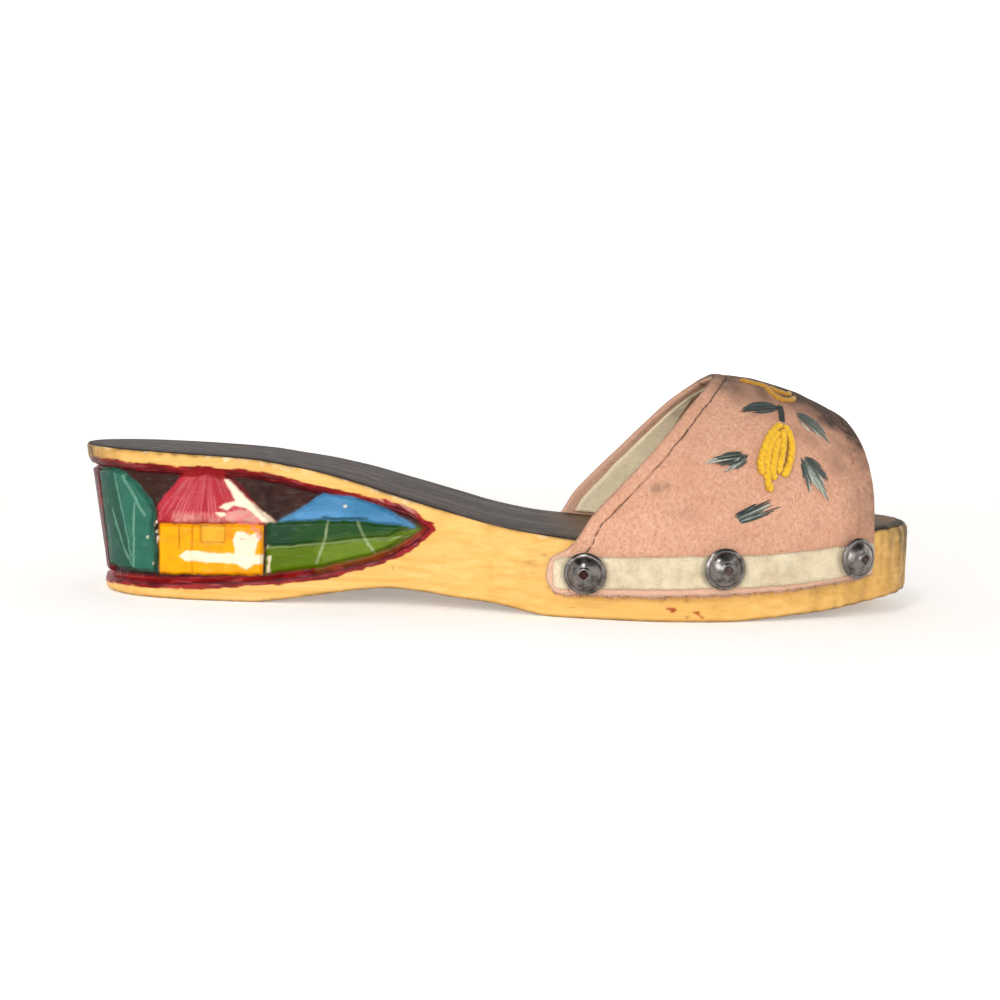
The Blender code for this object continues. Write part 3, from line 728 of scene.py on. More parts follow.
def carving(along, z):
    """Depth of the carved relief with its lines and tool marks."""
    u, v = (at + ripple(along, z, wander) for at, wander in zip((along, z), CUT_WANDER))
    reach = np.abs(u)
    inside = loop_distance(PANEL_LOOP, u, v)
    ground = np.clip(inside - BORDER[-1][0], 0, 1)
    depth = np.interp(inside, *zip(*BORDER)) + ground * ripple(along, z, *GROUND_MARKS)
    within = {name: loop_distance(loop, reach, v) for name, (_, loop) in MOTIFS.items()}
    for name, (face_depth, _) in MOTIFS.items():
        rise = np.clip(within[name] / MOTIF_BEVEL, 0, 1)
        depth = np.minimum(depth, GROUND_DEPTH - rise * (GROUND_DEPTH - face_depth))
    for name, lines, width, deep in GROOVES:
        cut = reduce(np.maximum, (np.clip(1 - line_distance(line, reach, v) / width, 0, 1) for line in lines))
        depth = depth + (within[name] > 0) * deep * cut
    depth = depth + (within["leaf"] > 0) * LEAF_STEP * step(left_of_midrib(reach, v), 1)
    depth = depth + (within["wall"] > 0) * WINDOW_DEPTH * step(loop_distance(WINDOW, reach, v), 0.5)
    return depth + ripple(along, z, *TOOL_MARKS)


# First coats of the motifs: tint, reach past the edge, then tint, strength, softness and field of patches
BASE_COATS = {
    "back": ("purple", 0.2, "crimson", 0.6, 1, (4, 48, 0.1)),
    "leaf": ("leaf", 0.15),
    "roof": ("thatch", 0.15, "crimson_light", 0.4, 1.2, (4.5, 49, 0.2)),
    "wall": ("gold", 0.12, "orange", 0.3, 1, (5, 22, 0.35)),
    "hill": ("blue", 0.2, "blue_light", 0.4, 1.2, (4, 24, 0.1)),
    "hedge": ("hedge", 0.2),
    "field": ("field", 0.2),
}
PAINT_WANDER = (((0.20, 3, 1), (0.14, 1.2, 8)), ((0.20, 3, 2), (0.14, 1.2, 10)))
FINE_LINE = 0.26


class Paint:
    """Colour and cover of the sole's side, laid on in coats at unrolled points."""

    def __init__(self, along, z):
        self.along, self.z = along, z
        self.u, self.v = (at + ripple(along, z, *wander) for at, wander in zip((along, z), PAINT_WANDER))
        self.reach = np.abs(self.u)
        self.colour = np.broadcast_to(tint("wood"), along.shape + (3,)).copy()
        self.cover = np.zeros(along.shape)

    def lay(self, colour, strength, *limits, soft=0.35):
        """Colour everything where all limits are positive."""
        weight = np.clip(step(reduce(np.minimum, limits), soft) * strength, 0, 1)
        self.colour += (tint(colour) - self.colour) * weight[..., None]
        self.cover += (1 - self.cover) * weight

    def base(self, motif):
        """First coat of a motif, with patches where its row has them; returns the distance inside it."""
        colour, past, *patches = BASE_COATS[motif]
        within = self.inside(MOTIFS[motif][1]) + past
        self.lay(colour, 1, within)
        if patches:
            other, strength, soft, where = patches
            self.lay(other, strength, within, self.patch(*where), soft=soft)
        return within

    def patch(self, size, layer, threshold=0):
        """Positive in random patches."""
        return field(self.along, self.z, size, layer) - threshold

    def inside(self, loop):
        """Positive inside a loop. The four limits below are positive inside their shapes too."""
        return loop_distance(loop, self.reach, self.v)

    def near(self, line, width):
        return width - line_distance(line, self.reach, self.v)

    def spot(self, reach, v, radius):
        return radius - np.hypot(self.reach - reach, self.v - v)

    def columns(self, first, last):
        return np.minimum(self.reach - first, last - self.reach)

    def rows(self, low, high):
        return np.minimum(self.v - low, high - self.v)


def paint_border(coat):
    """Crimson border, the dark ground inside it and the plain face at the heel back."""
    inside = loop_distance(PANEL_LOOP, coat.u, coat.v)
    below = step((smooth(PANEL, 1, coat.reach) + smooth(PANEL, 2, coat.reach)) / 2 - coat.v, 3)
    tip = step(coat.reach - 113, 6) * step(coat.v - 20, 4)
    drawn = field(0.2 * coat.along, coat.z, 0.75, 12)
    ragged = inside + 0.25 + 0.22 * coat.patch(7, 11) + 0.28 * drawn + 0.9 * tip * coat.patch(2.6, 56, -0.4)
    coat.lay("crimson", 1, ragged)
    coat.lay("maroon", 0.45, ragged, 0.5 * drawn - 0.05, soft=0.5)
    # Lighter crimson patches: painted highlights of the glossy enamel.
    coat.lay("crimson_light", 0.5, ragged, coat.patch(3.4, 13, 0.3), soft=0.6)
    coat.lay("crimson_light", 0.5, ragged, tip - 0.4)
    dry = field(coat.along + 1.6 * coat.z, 0.25 * coat.z, 0.7, 57) - 0.15
    coat.lay("thatch_pink", 0.6, ragged, dry, hump(coat.reach - 108, 6) * step(coat.v - 24, 2) - 0.4)
    coat.lay("maroon", 0.85, 0.30 - np.abs(inside - 1.25 - 0.25 * coat.patch(6, 58)))
    # Painted highlights: pale glints along the border's two ridges.
    for ridge, layer in ((0.75, 14), (1.8, 59)):
        gleam = field(0.2 * coat.along, coat.z, 0.9, layer) - 0.45
        coat.lay("thatch_light", 0.25, 0.22 - np.abs(inside - ridge), gleam, soft=0.3)
    coat.lay("maroon", 0.95, inside - 2 - 1.1 * below, soft=0.6)
    coat.lay("sky", 1, inside - 2.7 - 0.9 * below, soft=0.8)
    ground = inside - 3.2
    coat.lay("sky_dark", 0.7, ground, coat.patch(2.8, 15, 0.1), soft=0.8)
    coat.lay("sky_light", 0.4, ground, coat.patch(1.9, 16, 0.25), soft=0.8)
    coat.lay("maroon", 0.5, np.minimum(ground, 3 - ground) + coat.patch(4, 47, 0.4), soft=2.5)
    coat.base("back")


def paint_leaf(coat):
    leaf = coat.base("leaf")
    coat.lay("leaf_dark", 0.9, leaf, left_of_midrib(coat.reach, coat.v))
    for line in VEINS:
        coat.lay("vein", 0.7, leaf, coat.near(line, 0.36))
    seam = np.abs(coat.reach - 39.6 - 0.4 * np.sin(coat.v * 0.5))
    coat.lay("ink", 0.6, 0.35 - seam, coat.rows(7, 22))
    coat.lay("cream", 0.9, 0.42 - seam, coat.patch(0.9, 17, 0.35), coat.rows(7.6, 26))
    coat.lay("cream", 0.7, leaf, coat.spot(37.3, 17.5, 0.35))


def paint_roof(coat):
    roof = coat.base("roof")
    for number, line in enumerate(THATCH):
        # Pale lines beside the thatch grooves: worn paint and painted highlights on the groove edges.
        worn = 0.30 + 0.55 * field(coat.along, coat.z + 40 * number, 5, 18)
        beside = [(u + 0.55, z) for u, z in line]
        coat.lay("thatch_light", np.clip(worn, 0, 0.7), roof, coat.near(beside, FINE_LINE))
        coat.lay("crimson", 0.35, roof, coat.near(line, FINE_LINE))
    dry = 0.45 + 0.30 * coat.patch(1.1, 19) + 0.25 * field(coat.along, 0.3 * coat.z, 0.7, 54)
    coat.lay("thatch_pink", np.clip(dry, 0.1, 0.8), roof, 24.9 - coat.v, coat.columns(45.5, 62), soft=1.6)
    for loop in WORN_THATCH:
        coat.lay("cream", 0.95, roof, coat.inside(loop))
    pink = coat.inside(PINK_THATCH)
    coat.lay("thatch_pink", 0.85, roof, pink + 0.3 * coat.patch(1.4, 20))
    coat.lay("thatch_light", 0.7, roof, pink, coat.patch(1.3, 50, 0.15))
    coat.lay("crimson", 0.95, roof + 0.4, coat.v - 35.2 - 0.8 * coat.patch(1.6, 21))
    coat.lay("ink", 0.8, coat.near(GABLE_EDGE, 0.30))


def paint_wall(coat):
    wall = coat.base("wall")
    for line in DOOR_LINES:
        coat.lay("gold_line", 0.6, wall, coat.near(line, FINE_LINE))
    window = coat.inside(WINDOW)
    coat.lay("pane", 0.9, wall, window)
    coat.lay("gold_line", 0.6, wall, FINE_LINE - np.abs(window))
    coat.lay("orange", 0.7, wall, coat.inside(WALL_SHADE))
    for loop in WALL_CREAM:
        coat.lay("cream", 0.97, coat.inside(loop))
    coat.lay("thatch_light", 0.6, coat.inside(WALL_STREAK), coat.patch(0.9, 23, 0.1))
    level = coat.v - 0.02 * (coat.reach - 40)
    coat.lay("crimson", 0.75, 0.28 - np.abs(level - 21.7), coat.columns(40, 64))
    coat.lay("ink", 0.85, 0.32 - np.abs(coat.reach - 71.6), coat.rows(7.6, 22))
    coat.lay("ink", 0.6, 0.34 - np.abs(level - 6.9), 72 - coat.reach)


def paint_land(coat):
    """Blue hill, dark hedge and green field with their paths."""
    hill = coat.base("hill")
    coat.lay("blue_light", 0.3, hill, 26 - coat.v + coat.patch(3, 25, 0.2), soft=1.5)
    coat.lay("cream", 0.8, hill, coat.spot(94, 28, 0.4))
    hedge = coat.base("hedge")
    coat.lay("hedge_dark", 0.6, hedge, 80 - coat.reach + 3 * coat.patch(2.4, 26), soft=3)
    coat.lay("hedge_dark", 0.7, 0.35 - np.abs(coat.v - 24.6), coat.columns(87.5, 100.5))
    meadow = coat.base("field")
    coat.lay("field_light", 0.65, meadow, coat.reach - 88 + 3 * coat.patch(3, 27), soft=4)
    coat.lay("path", 0.35, meadow, 0.35 - np.abs(coat.v - 15.5 - 0.11 * (coat.reach - 72.2)))
    for line in PATHS:
        coat.lay("path", 0.55 + 0.3 * coat.patch(2, 28), np.maximum(hedge, meadow), coat.near(line, 0.34))
    coat.lay("cream", 0.75, 0.55 - np.abs(coat.reach - 72.8), coat.patch(1.3, 29, 0.15), coat.rows(8.5, 16))


# Flicks of red paint on the lateral side: start and end as (distance from the heel back, height), radius
SPATTER = (((169.1, 3.9), (171.3, 3.7), 0.5), ((170.2, 3.3), (170.7, 3.2), 0.55),
           ((176.5, 2.9), (177.9, 2.9), 0.45), ((177.6, 2.6), (178.9, 1.5), 0.42))
SPATTER_FROM, SPATTER_TO = 166, 182
SHELTER_FROM, SHELTER_SOFT = 142, 14
# Painted shade at the toe end: where it starts and the distance over which it deepens.
TOE_SHADE_FROM, TOE_SHADE_REACH = 231, 12
CHIP_REACH = 1.3


def paint_sole(along, z, x):
    """Colour and cover of the painted side at unrolled points."""
    coat = Paint(along, z)
    for paint in (paint_border, paint_leaf, paint_roof, paint_wall, paint_land):
        paint(coat)
    rim = footbed(x, np.where(along > 0, LATERAL, MEDIAL)) - z
    frayed = 0.45 + 0.9 * field(along, 0, 1.7, 55) + 0.3 * field(along, z, 0.8, 64)
    for start, end, down, strength in BARE_EDGES:
        coat.lay("wood_bare", strength, coat.columns(start, end), down * frayed - rim, soft=0.6)
    for start, end, radius in SPATTER:
        near = line_distance((start, end), x + 0.3 * field(along, z, 0.8, 30), z)
        coat.lay("spatter", 0.9, np.where(along > 0, radius - near, -1))
    return coat


def sole_ring():
    """Side and station of each column round the sole, from the toe tip by the medial side and the heel."""
    arc = ARCS[LATERAL]
    dense = np.interp(station_of(np.array((SPATTER_FROM, SPATTER_TO))), ARC_STATIONS, arc)
    parts = (np.arange(0, CARVED_END, CARVED_STEP), np.arange(CARVED_END, dense[0], PLAIN_STEP),
             np.arange(*dense, SPATTER_STEP),
             np.linspace(dense[1], arc[-1], int((arc[-1] - dense[1]) / PLAIN_STEP)))
    stations = np.interp(np.concatenate(parts), arc, ARC_STATIONS)
    per_side = len(stations) - 1
    station = np.concatenate((stations[:0:-1], stations[:-1]))
    return np.repeat((MEDIAL, LATERAL), per_side), station, per_side


def top_round(x):
    share = np.maximum(0, (x - TOE_ROUND_FROM) / (LENGTH - TOE_ROUND_FROM))
    return EDGE_ROUND + (TOE_ROUND - EDGE_ROUND) * share


def side_wear(along, x, z, below_top):
    """How far the plain side stands back: knife flats round the toe and chips along the footbed's edge."""
    share = (along / FACET_WIDTH) % 1
    depth = np.where(x > FACETS_FROM, FACET_DEPTH * (1 - (2 * share - 1) ** 2), 0)
    ragged = (1 + 0.6 * field(along, z, 0.9, 31)) * hump(below_top, CHIP_REACH)
    for place, width, deep in CHIPS:
        depth = depth + deep * ragged * hump(along - place, width)
    return depth + 0.06 * field(along, z, 7, 32)


def sole_rings(low, high, top):
    """Heights of the rings of the sole's side, and how far its rounded edges draw each of them in."""
    turns = np.linspace(0, math.pi / 2, ROUND_STEPS + 1)[1:, None]
    rise = np.linspace(0, 1, WALL_ROWS + 1)[:, None]
    z = np.concatenate((low + EDGE_ROUND * (1 - np.sin(turns[::-1])),
                        low + EDGE_ROUND + (high - top - low - EDGE_ROUND) * rise,
                        high - top * (1 - np.sin(turns))))
    flat = 0 * low
    sunk = np.concatenate((EDGE_ROUND * (1 - np.cos(turns[::-1])) + flat, flat * rise,
                           top * (1 - np.cos(turns))))
    return z, sunk


def build_sole():
    side, station, per_side = sole_ring()
    x = x_of(station)
    low, high = smooth(PROFILE, 1, x), footbed(x, side)
    z, sunk = sole_rings(low, high, top_round(x))
    along, x_all = (np.broadcast_to(row, z.shape) for row in (-side * along_at(side, station), x))
    depth = np.where(sunk == 0, carving(along, z), 0) + side_wear(along, x_all, z, high - z)
    points = [side_point(side, station, z, -sunk - depth).reshape(-1, 3)]
    rings, count = z.shape
    faces = grid_faces(rings, count, wrap=True)
    painted = (rings - ROUND_STEPS // 2 - 1) * count
    finish = [int(k >= painted) for k in range(len(faces))]
    for ring, material, flip in ((rings - 1, 1, False), (0, 2, True)):
        added, cap = cap_faces(points, ring, count, per_side, flip)
        points.append(added)
        faces += cap
        finish += [material] * len(cap)
    points = np.concatenate(points)
    woods = [painted_wood(), footbed_wood(), underside_wood()]
    sole = add_piece("carved_sole", points, faces, woods, ("sole",), finish)
    coat = paint_sole(along, z, x_all)
    extra = len(points) - z.size
    bare = np.broadcast_to(tint("wood"), (extra, 3))
    store(sole, "paint", np.concatenate((coat.colour.reshape(-1, 3), bare)))
    for name, values in (("cover", coat.cover), ("soil_and_shade", wood_dirt_and_shade(along, z, x_all, low, high))):
        store(sole, name, np.concatenate((values.ravel(), np.zeros(extra))))
    sheltered = points[:, 0] - SHELTER_FROM + 2.5 * field(points[:, 1], points[:, 0], 7, 33)
    store(sole, "shelter", step(sheltered, SHELTER_SOFT))


def cap_faces(points, ring, count, per_side, flip):
    """Rungs across the sole between facing vertices of one ring; returns the new vertices and the faces."""
    base = points[0].reshape(-1, count, 3)[ring]
    start = ring * count
    first_new = sum(len(part) for part in points)
    share = np.linspace(0, 1, CAP_RUNGS + 1)[1:-1]
    added, rows = [], []
    for k in range(per_side + 1):
        medial, lateral = k % count, -k % count
        if medial == lateral:
            rows.append([start + medial] * (CAP_RUNGS + 1))
            continue
        names = [first_new + len(added) + j for j in range(len(share))]
        added += list(base[medial] + (base[lateral] - base[medial]) * share[:, None])
        rows.append([start + medial, *names, start + lateral])
    faces = []
    for here, after in zip(rows, rows[1:]):
        for j in range(CAP_RUNGS):
            face = tuple(dict.fromkeys((here[j], after[j], after[j + 1], here[j + 1])))
            if len(face) > 2:
                faces.append(face[::-1] if flip else face)
    return np.array(added), faces


def wood_dirt_and_shade(along, z, x, low, high):
    """Dirt in chips, nicks and spots, darker lower and upper edges, and painted shade at the heel back, toe
    flats and toe end.
    """
    # Darker along the lower and upper edges.
    soil_and_shade = 0.75 * hump(z - low, 0.7) + 0.9 * hump(high - z, 0.75) * step(field(along, z, 6, 34) + 0.35, 0.7)
    for place, width, deep in CHIPS:
        soil_and_shade = soil_and_shade + 1.3 * deep * hump(along - place, width * 0.9) * hump(high - z, 1.1)
    # Painted shade on the toe end, which turns away from the light.
    toe = np.clip((x - TOE_SHADE_FROM) / TOE_SHADE_REACH, 0, 1)
    soil_and_shade = soil_and_shade + toe * (0.38 + 0.42 * step(z - 17 + 2 * field(along, z, 4, 35), 8))
    # Dark vertical streaks over the toe's knife flats: painted shade of the flats.
    flats = np.where(x > FACETS_FROM, step(field(along, 0.08 * z, 2, 63) - 0.05, 0.7), 0)
    nicks = step(field(along, z, 1.1, 36) - 0.93, 0.1) * step(field(along, z, 11, 37) - 0.1, 0.4)
    # Painted shade on the top of the heel back.
    heel = hump(along, 19) * step(z - 37.5 + 1.5 * field(along, z, 3, 38), 2)
    for spot_x, spot_z, radius, strength in WOOD_SPOTS:
        gap = np.hypot(x - spot_x + 0.5 * field(along, z, 1, 60), z - spot_z)
        soil_and_shade = soil_and_shade + np.where(along > 0, strength, 0.6 * strength) * hump(gap, radius)
    return np.clip(soil_and_shade + 0.22 * flats + 0.5 * nicks + 1.5 * heel, 0, 0.95)


# Vamp

HEM_SEAM = 3.8            # distance of the stitched seam from the throat's edge
FRONT_SEAM = 5.2          # distance of the stitched row from the front edge
ARCH_ROWS = 170
MARGIN_ROWS = 26
MIDDLE_COLUMNS = 60
CREASE_POINTS = 14
MARGIN_DROP = 14          # height of the margin below the spring of the arch
# Columns near the throat and near the front: first and last distance from the edge, count
NEAR_COLUMNS = ((0, 2.6, 7), (2.9, 5.1, 20), (5.6, 9, 6))
FAR_COLUMNS = ((-8, -6.4, 4), (-6, -4.4, 10), (-3.9, 0, 8))
# Millimetres that stand for the fraction 1 in random fields over the suede and along the throat
ACROSS_MM, EDGE_MM = 60, 80
# Creases and dents of the vamp: start and end as (distance from the heel back, fraction), depth, half width
CREASES = (
    ((171, -0.66), (189, -0.50), 0.40, 4.5),
    ((205, -0.74), (219, -0.44), 0.45, 5),
    ((176, -0.44), (190, -0.36), 0.30, 4),
    ((160, -0.78), (212, -0.79), 0.35, 3.2),
    ((186, -0.10), (214, 0.06), 0.35, 5),
    ((172, 0.64), (192, 0.48), 0.40, 4.5),
    ((204, 0.72), (217, 0.40), 0.45, 5),
    ((162, 0.78), (214, 0.79), 0.35, 3.2),
)
# Smudges of the suede: distance from the heel back, fraction, radius, strength
SMUDGES = ((164.9, -0.62, 1.5, 0.5), (167.8, -0.61, 0.8, 0.4), (172.5, -0.70, 2.2, 0.18),
           (209, -0.42, 3, 0.2), (217, -0.50, 3.5, 0.25), (190, -0.22, 4, 0.3), (178, 0.58, 2, 0.4),
           (205, 0.35, 3.5, 0.3))
# Dirt and painted shade round the ridge: strength, fraction reached, wander, softness, distance where it
# starts, softness
RIDGE_SOIL_AND_SHADE = ((0.80, 0.22, 0.05, 0.26, 183, 10), (0.42, 0.35, 0.06, 0.28, 200, 16))
REAR_FADED_TO, REAR_FADED_HEIGHT = 141.5, 13
WINE_SPOT = (1, 0.13, 1.2)     # distance from the throat's edge, fraction, radius


def suede_field(x, across, *layers):
    return ripple(x, across * ACROSS_MM, *layers)


def edge_field(across, *layers):
    return ripple(across * EDGE_MM, 0, *layers)


def vamp_columns(across):
    """Distances from the heel back of the vamp's columns: close at the seams, shared out between them."""
    start, end = throat(across)[:, None], front(across)[:, None]
    near, far = (np.concatenate([np.linspace(*row) for row in rows]) for rows in (NEAR_COLUMNS, FAR_COLUMNS))
    share = np.linspace(0, 1, MIDDLE_COLUMNS + 2)[None, 1:-1]
    middle = start + near[-1] + (end + far[0] - start - near[-1]) * share
    return np.concatenate((start + near, middle, end + far), axis=1)


def seam_line(across):
    """Distance of the uneven hem seam from the throat's edge."""
    return HEM_SEAM + edge_field(across, (0.22, 3, 46), (0.10, 1, 51))


def vamp_rows():
    margin = np.linspace(1, SPRING, MARGIN_ROWS + 1)[:-1]
    arch = np.linspace(SPRING, -SPRING, ARCH_ROWS + 1)
    return np.concatenate((-margin, -arch, margin[::-1]))


def vamp_form(x, across, points):
    """Height that creases, hem and dents add to the outer face, and the distances from throat and front."""
    lift = suede_field(x, across, (0.10, 9, 40), (0.05, 3, 41))
    for (x1, a1), (x2, a2), depth, width in CREASES:
        line = vamp_outer(np.linspace(x1, x2, CREASE_POINTS), np.linspace(a1, a2, CREASE_POINTS))
        gap = np.min(np.linalg.norm(points[..., None, :] - line, axis=-1), axis=-1)
        lift = lift - depth * hump(gap, width) + 0.45 * depth * hump(gap - 2 * width, width)
    from_throat = (x - throat(across)) * throat_pace(across)
    from_front = front(across) - x
    hems = ((from_throat, seam_line(across), 0.40, 0.30, HEM_SEAM / 2, 1.6),
            (from_front, FRONT_SEAM, 0.25, 0.5, FRONT_SEAM / 2, 1.8))
    for distance, seam, depth, width, middle, swell in hems:
        lift = lift - depth * hump(distance - seam, width) + 0.12 * hump(distance - middle, swell)
    return lift, from_throat, from_front


def build_vamp():
    across = vamp_rows()
    x = vamp_columns(across)
    a = np.broadcast_to(across[:, None], x.shape)
    inner, normal, _ = vamp_frame(x, a)
    outer = inner + normal * SUEDE
    lift, from_throat, from_front = vamp_form(x, a, outer)
    settled = (1 - np.abs(a)) / (1 - SPRING)
    margin = settled * MARGIN_DROP
    settled = np.clip(settled, 0, 1)
    border = np.minimum(np.minimum(from_throat, from_front), margin)
    rounding = 0.5 * np.clip(1 - border / 0.8, 0, 1)
    outer = outer + normal * (lift * settled - rounding)[..., None]
    inner = inner + normal * ((0.4 * np.clip(lift, -0.4, 0) * settled + rounding) * (margin > 0.1))[..., None]
    ragged = suede_field(x, a, (0.55, 1.7, 42)) * (margin < 0.1)
    outer[..., 2] += ragged
    inner[..., 2] += ragged
    points = np.stack((inner, outer))
    vamp = add_piece("suede_vamp", points, shell_faces(*x.shape), [suede_nap()], ("upper",))
    soil_and_shade, ink = suede_soil_and_shade(x, a, outer, from_throat, from_front, margin)
    # Inside face: darker deeper in.
    store(vamp, "soil_and_shade", np.stack((0.30 * step(from_throat - 14, 16), soil_and_shade)).ravel())
    store(vamp, "ink", np.stack((wine_mark(inner), ink)).ravel())
    # Inside face near the throat's edge: paler, painted light on the shaded rim; outer face: faded margins.
    store(vamp, "faded_and_lit", np.stack((0.6 * step(9 - from_throat, 8), suede_fading(x, margin))).ravel())


def suede_soil_and_shade(x, across, points, from_throat, from_front, margin):
    """Dirt and painted shade at the ridge and front, smudges, and dark seam lines on the vamp's outer face.
    """
    cloud = suede_field(x, across, (1, 4, 43), (0.5, 1.6, 52))
    grit = 0.9 + suede_field(x, across, (0.3, 0.9, 61))
    fraction = np.abs(across)
    # Darker towards the front edge: dirt and painted shade where the suede turns away from the light.
    soil_and_shade = 0.02 + 0.55 * grit * step(6 - from_front + 2 * cloud, 17) * step(0.88 - fraction, 0.3)
    # Darker round the ridge: dirt and painted shade on the top of the vamp.
    for strength, reach, wander, soft, start, start_soft in RIDGE_SOIL_AND_SHADE:
        ridge = step(reach - fraction + wander * cloud, soft)
        soil_and_shade = soil_and_shade + strength * ridge * step(x - start + 3 * cloud, start_soft)
    for spot_x, spot_a, radius, strength in SMUDGES:
        gap = np.linalg.norm(points - vamp_outer(spot_x, spot_a), axis=-1)
        soil_and_shade = soil_and_shade + strength * hump(np.maximum(gap + 0.8 * cloud, 0), radius)
    soil_and_shade = soil_and_shade + 0.42 * grit * hump(from_throat, 0.5) + 0.45 * grit * hump(margin, 0.7)
    worn = step(edge_field(across, (1, 4, 44)) + 0.7, 0.5)
    thin = 0.16 + edge_field(across, (0.05, 2.2, 62))
    ink = 0.9 * hump(from_throat - seam_line(across), thin) * worn * step(0.985 - fraction, 0.02)
    rubbed = step(suede_field(x, across, (1, 2, 45)) - 0.1, 0.6)
    ink = ink + 0.12 * hump(from_front - FRONT_SEAM, 0.3) * rubbed
    return np.clip(soil_and_shade, 0, 0.97), np.clip(ink, 0, 1)


def suede_fading(x, margin):
    """Pale, rubbed suede along the lower margins, most of all at their rear ends."""
    rear = step(REAR_FADED_TO - x, 3) * step(REAR_FADED_HEIGHT - margin, 3)
    return np.clip(0.75 * step(3.4 - margin, 2) + 0.85 * rear, 0, 0.92)


def wine_mark(points):
    """Small dark red stain inside the throat near the ridge."""
    from_edge, across, radius = WINE_SPOT
    spot = vamp_point(throat(across) + from_edge, across)
    return 0.85 * hump(np.linalg.norm(points - spot, axis=-1), radius)


# Tape

FACING_START, FACING_WIDTH, FACING_END = 2.6, 8.2, 0.79
FACING_THICK = 0.6
FACING_GRID, BAND_GRID = (220, 14), (230, 22)
TAPE_SEAT = 0.25


def build_facing(finish):
    """Cream tape that lines the throat's edge inside, narrow at the ridge."""
    across = np.linspace(-FACING_END, FACING_END, FACING_GRID[0])[:, None]
    share = np.linspace(0, 1, FACING_GRID[1])
    width = FACING_WIDTH * (0.15 + 0.85 * step(np.abs(across) - 0.40, 0.30))
    offset = FACING_START + edge_field(across, (0.5, 9, 50)) + width * share
    x = throat(across) + offset / throat_pace(across)
    a = np.broadcast_to(across, x.shape)
    inner, normal, _ = vamp_frame(x, a)
    edge_in = np.minimum(share, 1 - share) * FACING_WIDTH
    thick = FACING_THICK * (0.35 + 0.65 * np.clip(edge_in / 0.7, 0, 1))
    pucker = np.abs(suede_field(x, a, (0.18, 3.2, 51)))
    points = np.stack((inner - normal * (TAPE_SEAT + thick + pucker)[..., None], inner - normal * 0.2))
    tape = add_piece("throat_facing", points, shell_faces(*x.shape), [finish])
    stain = 0.05 * step(suede_field(x, a, (1, 6, 52)) - 0.1, 0.8) + 0.2 * (1 - np.clip(edge_in / 0.6, 0, 1))
    ridge = step(0.30 - np.abs(a) + suede_field(x, a, (0.05, 3, 53)), 0.14)
    store(tape, "soil_and_shade", np.tile(np.clip(stain + 0.40 * ridge, 0, 0.7).ravel(), 2))


def build_band(side_name, side, finish):
    """Cream tape on the vamp's margin, with soft edges and square ends."""
    x = np.linspace(BAND_START, BAND_END, BAND_GRID[0])[:, None]
    share = np.linspace(0, 1, BAND_GRID[1])
    from_end = np.minimum(x - BAND_START, BAND_END - x)
    short = BAND_CORNER - np.minimum(from_end, BAND_CORNER)
    half = BAND_WIDTH / 2 - BAND_CORNER + np.sqrt(BAND_CORNER ** 2 - short ** 2)
    ragged = ripple(x, 0, (0.16, 2.2, 53 + side), (0.10, 0.8, 55 + side))
    z = smooth(BAND_LINE, 1, x) + BAND_WIDTH / 2 + (2 * share - 1) * (half + ragged)
    x = np.broadcast_to(x, z.shape)
    from_edge = np.minimum(np.minimum(share, 1 - share) * 2 * half, from_end)
    soft = np.clip(from_edge / 0.8, 0, 1) ** 0.6
    swell = ripple(x, z, (0.12, 5, 57 + side), (0.05, 1.5, 59 + side))
    under = 2 * SEAT_GAP + SUEDE
    over = under + TAPE_SEAT + (BAND - TAPE_SEAT + swell) * soft
    points = [side_point(side, station_of(x), z, out) for out in (under + 0 * z, over)]
    faces = shell_faces(*z.shape)
    if side == MEDIAL:
        faces = flipped(faces)
    band = add_piece(f"tape_{side_name}", points, faces, [finish], (f"band_{side_name}",))
    soil_and_shade = 0.12 * (1 - np.clip(from_edge / 0.5, 0, 1)) + 0.12 * step(field(x, z, 2, 61 + side) - 0.3, 0.6)
    for _, nail_x, nail_z in NAILS:
        soil_and_shade = soil_and_shade + 0.4 * hump(np.maximum(np.hypot(x - nail_x, z - nail_z) - NAIL_RADIUS, 0), 0.7)
    store(band, "soil_and_shade", np.tile(np.clip(soil_and_shade, 0, 0.8).ravel(), 2))


# Nails

NAIL_SIDES = 56
# Profile points: radius, height over the tape
FLANGE = ((5.35, 0), (NAIL_RADIUS, 0.10), (NAIL_RADIUS, 0.24), (5.7, 0.36), (5.45, 0.54), (5.2, 0.69),
          (4.98, 0.79), (4.85, 0.80), (4.72, 0.70))
DOME_BASE = (4.6, 0.78)
PIT = ((1.75, 2.92), (1.58, 3), (1.38, 2.99), (1.2, 2.86), (1.05, 2.45), (0.80, 2.32))
PIT_FLOOR, PIT_INSIDE = 2.3, 1.25
TIP_RADIUS = 0.02
PIT_DROP = 0.06
DOME_STEPS = 12
PIT_SQUARENESS = 0.12
GROOVE_RADIUS, GROOVE_RUST = 4.7, 0.3
SHARP_ANGLE = 40


def nail_profile():
    """Half section of a nail from shank tip to pit: radius, height over the tape."""
    shank = [(TIP_RADIUS, -SHANK_LENGTH), (SHANK_RADIUS, SHANK_POINT - SHANK_LENGTH), (SHANK_RADIUS, 0)]
    base, low = DOME_BASE
    rise = NAIL_DOME - PIT_DROP - low
    sphere = (base ** 2 + rise ** 2) / (2 * rise)
    radii = np.linspace(base, PIT[0][0], DOME_STEPS + 1)[:-1]
    dome = [(r, low + rise - sphere + math.sqrt(sphere ** 2 - r ** 2)) for r in radii]
    return np.array([*shank, *FLANGE, *dome, *PIT, (TIP_RADIUS, PIT_FLOOR)])


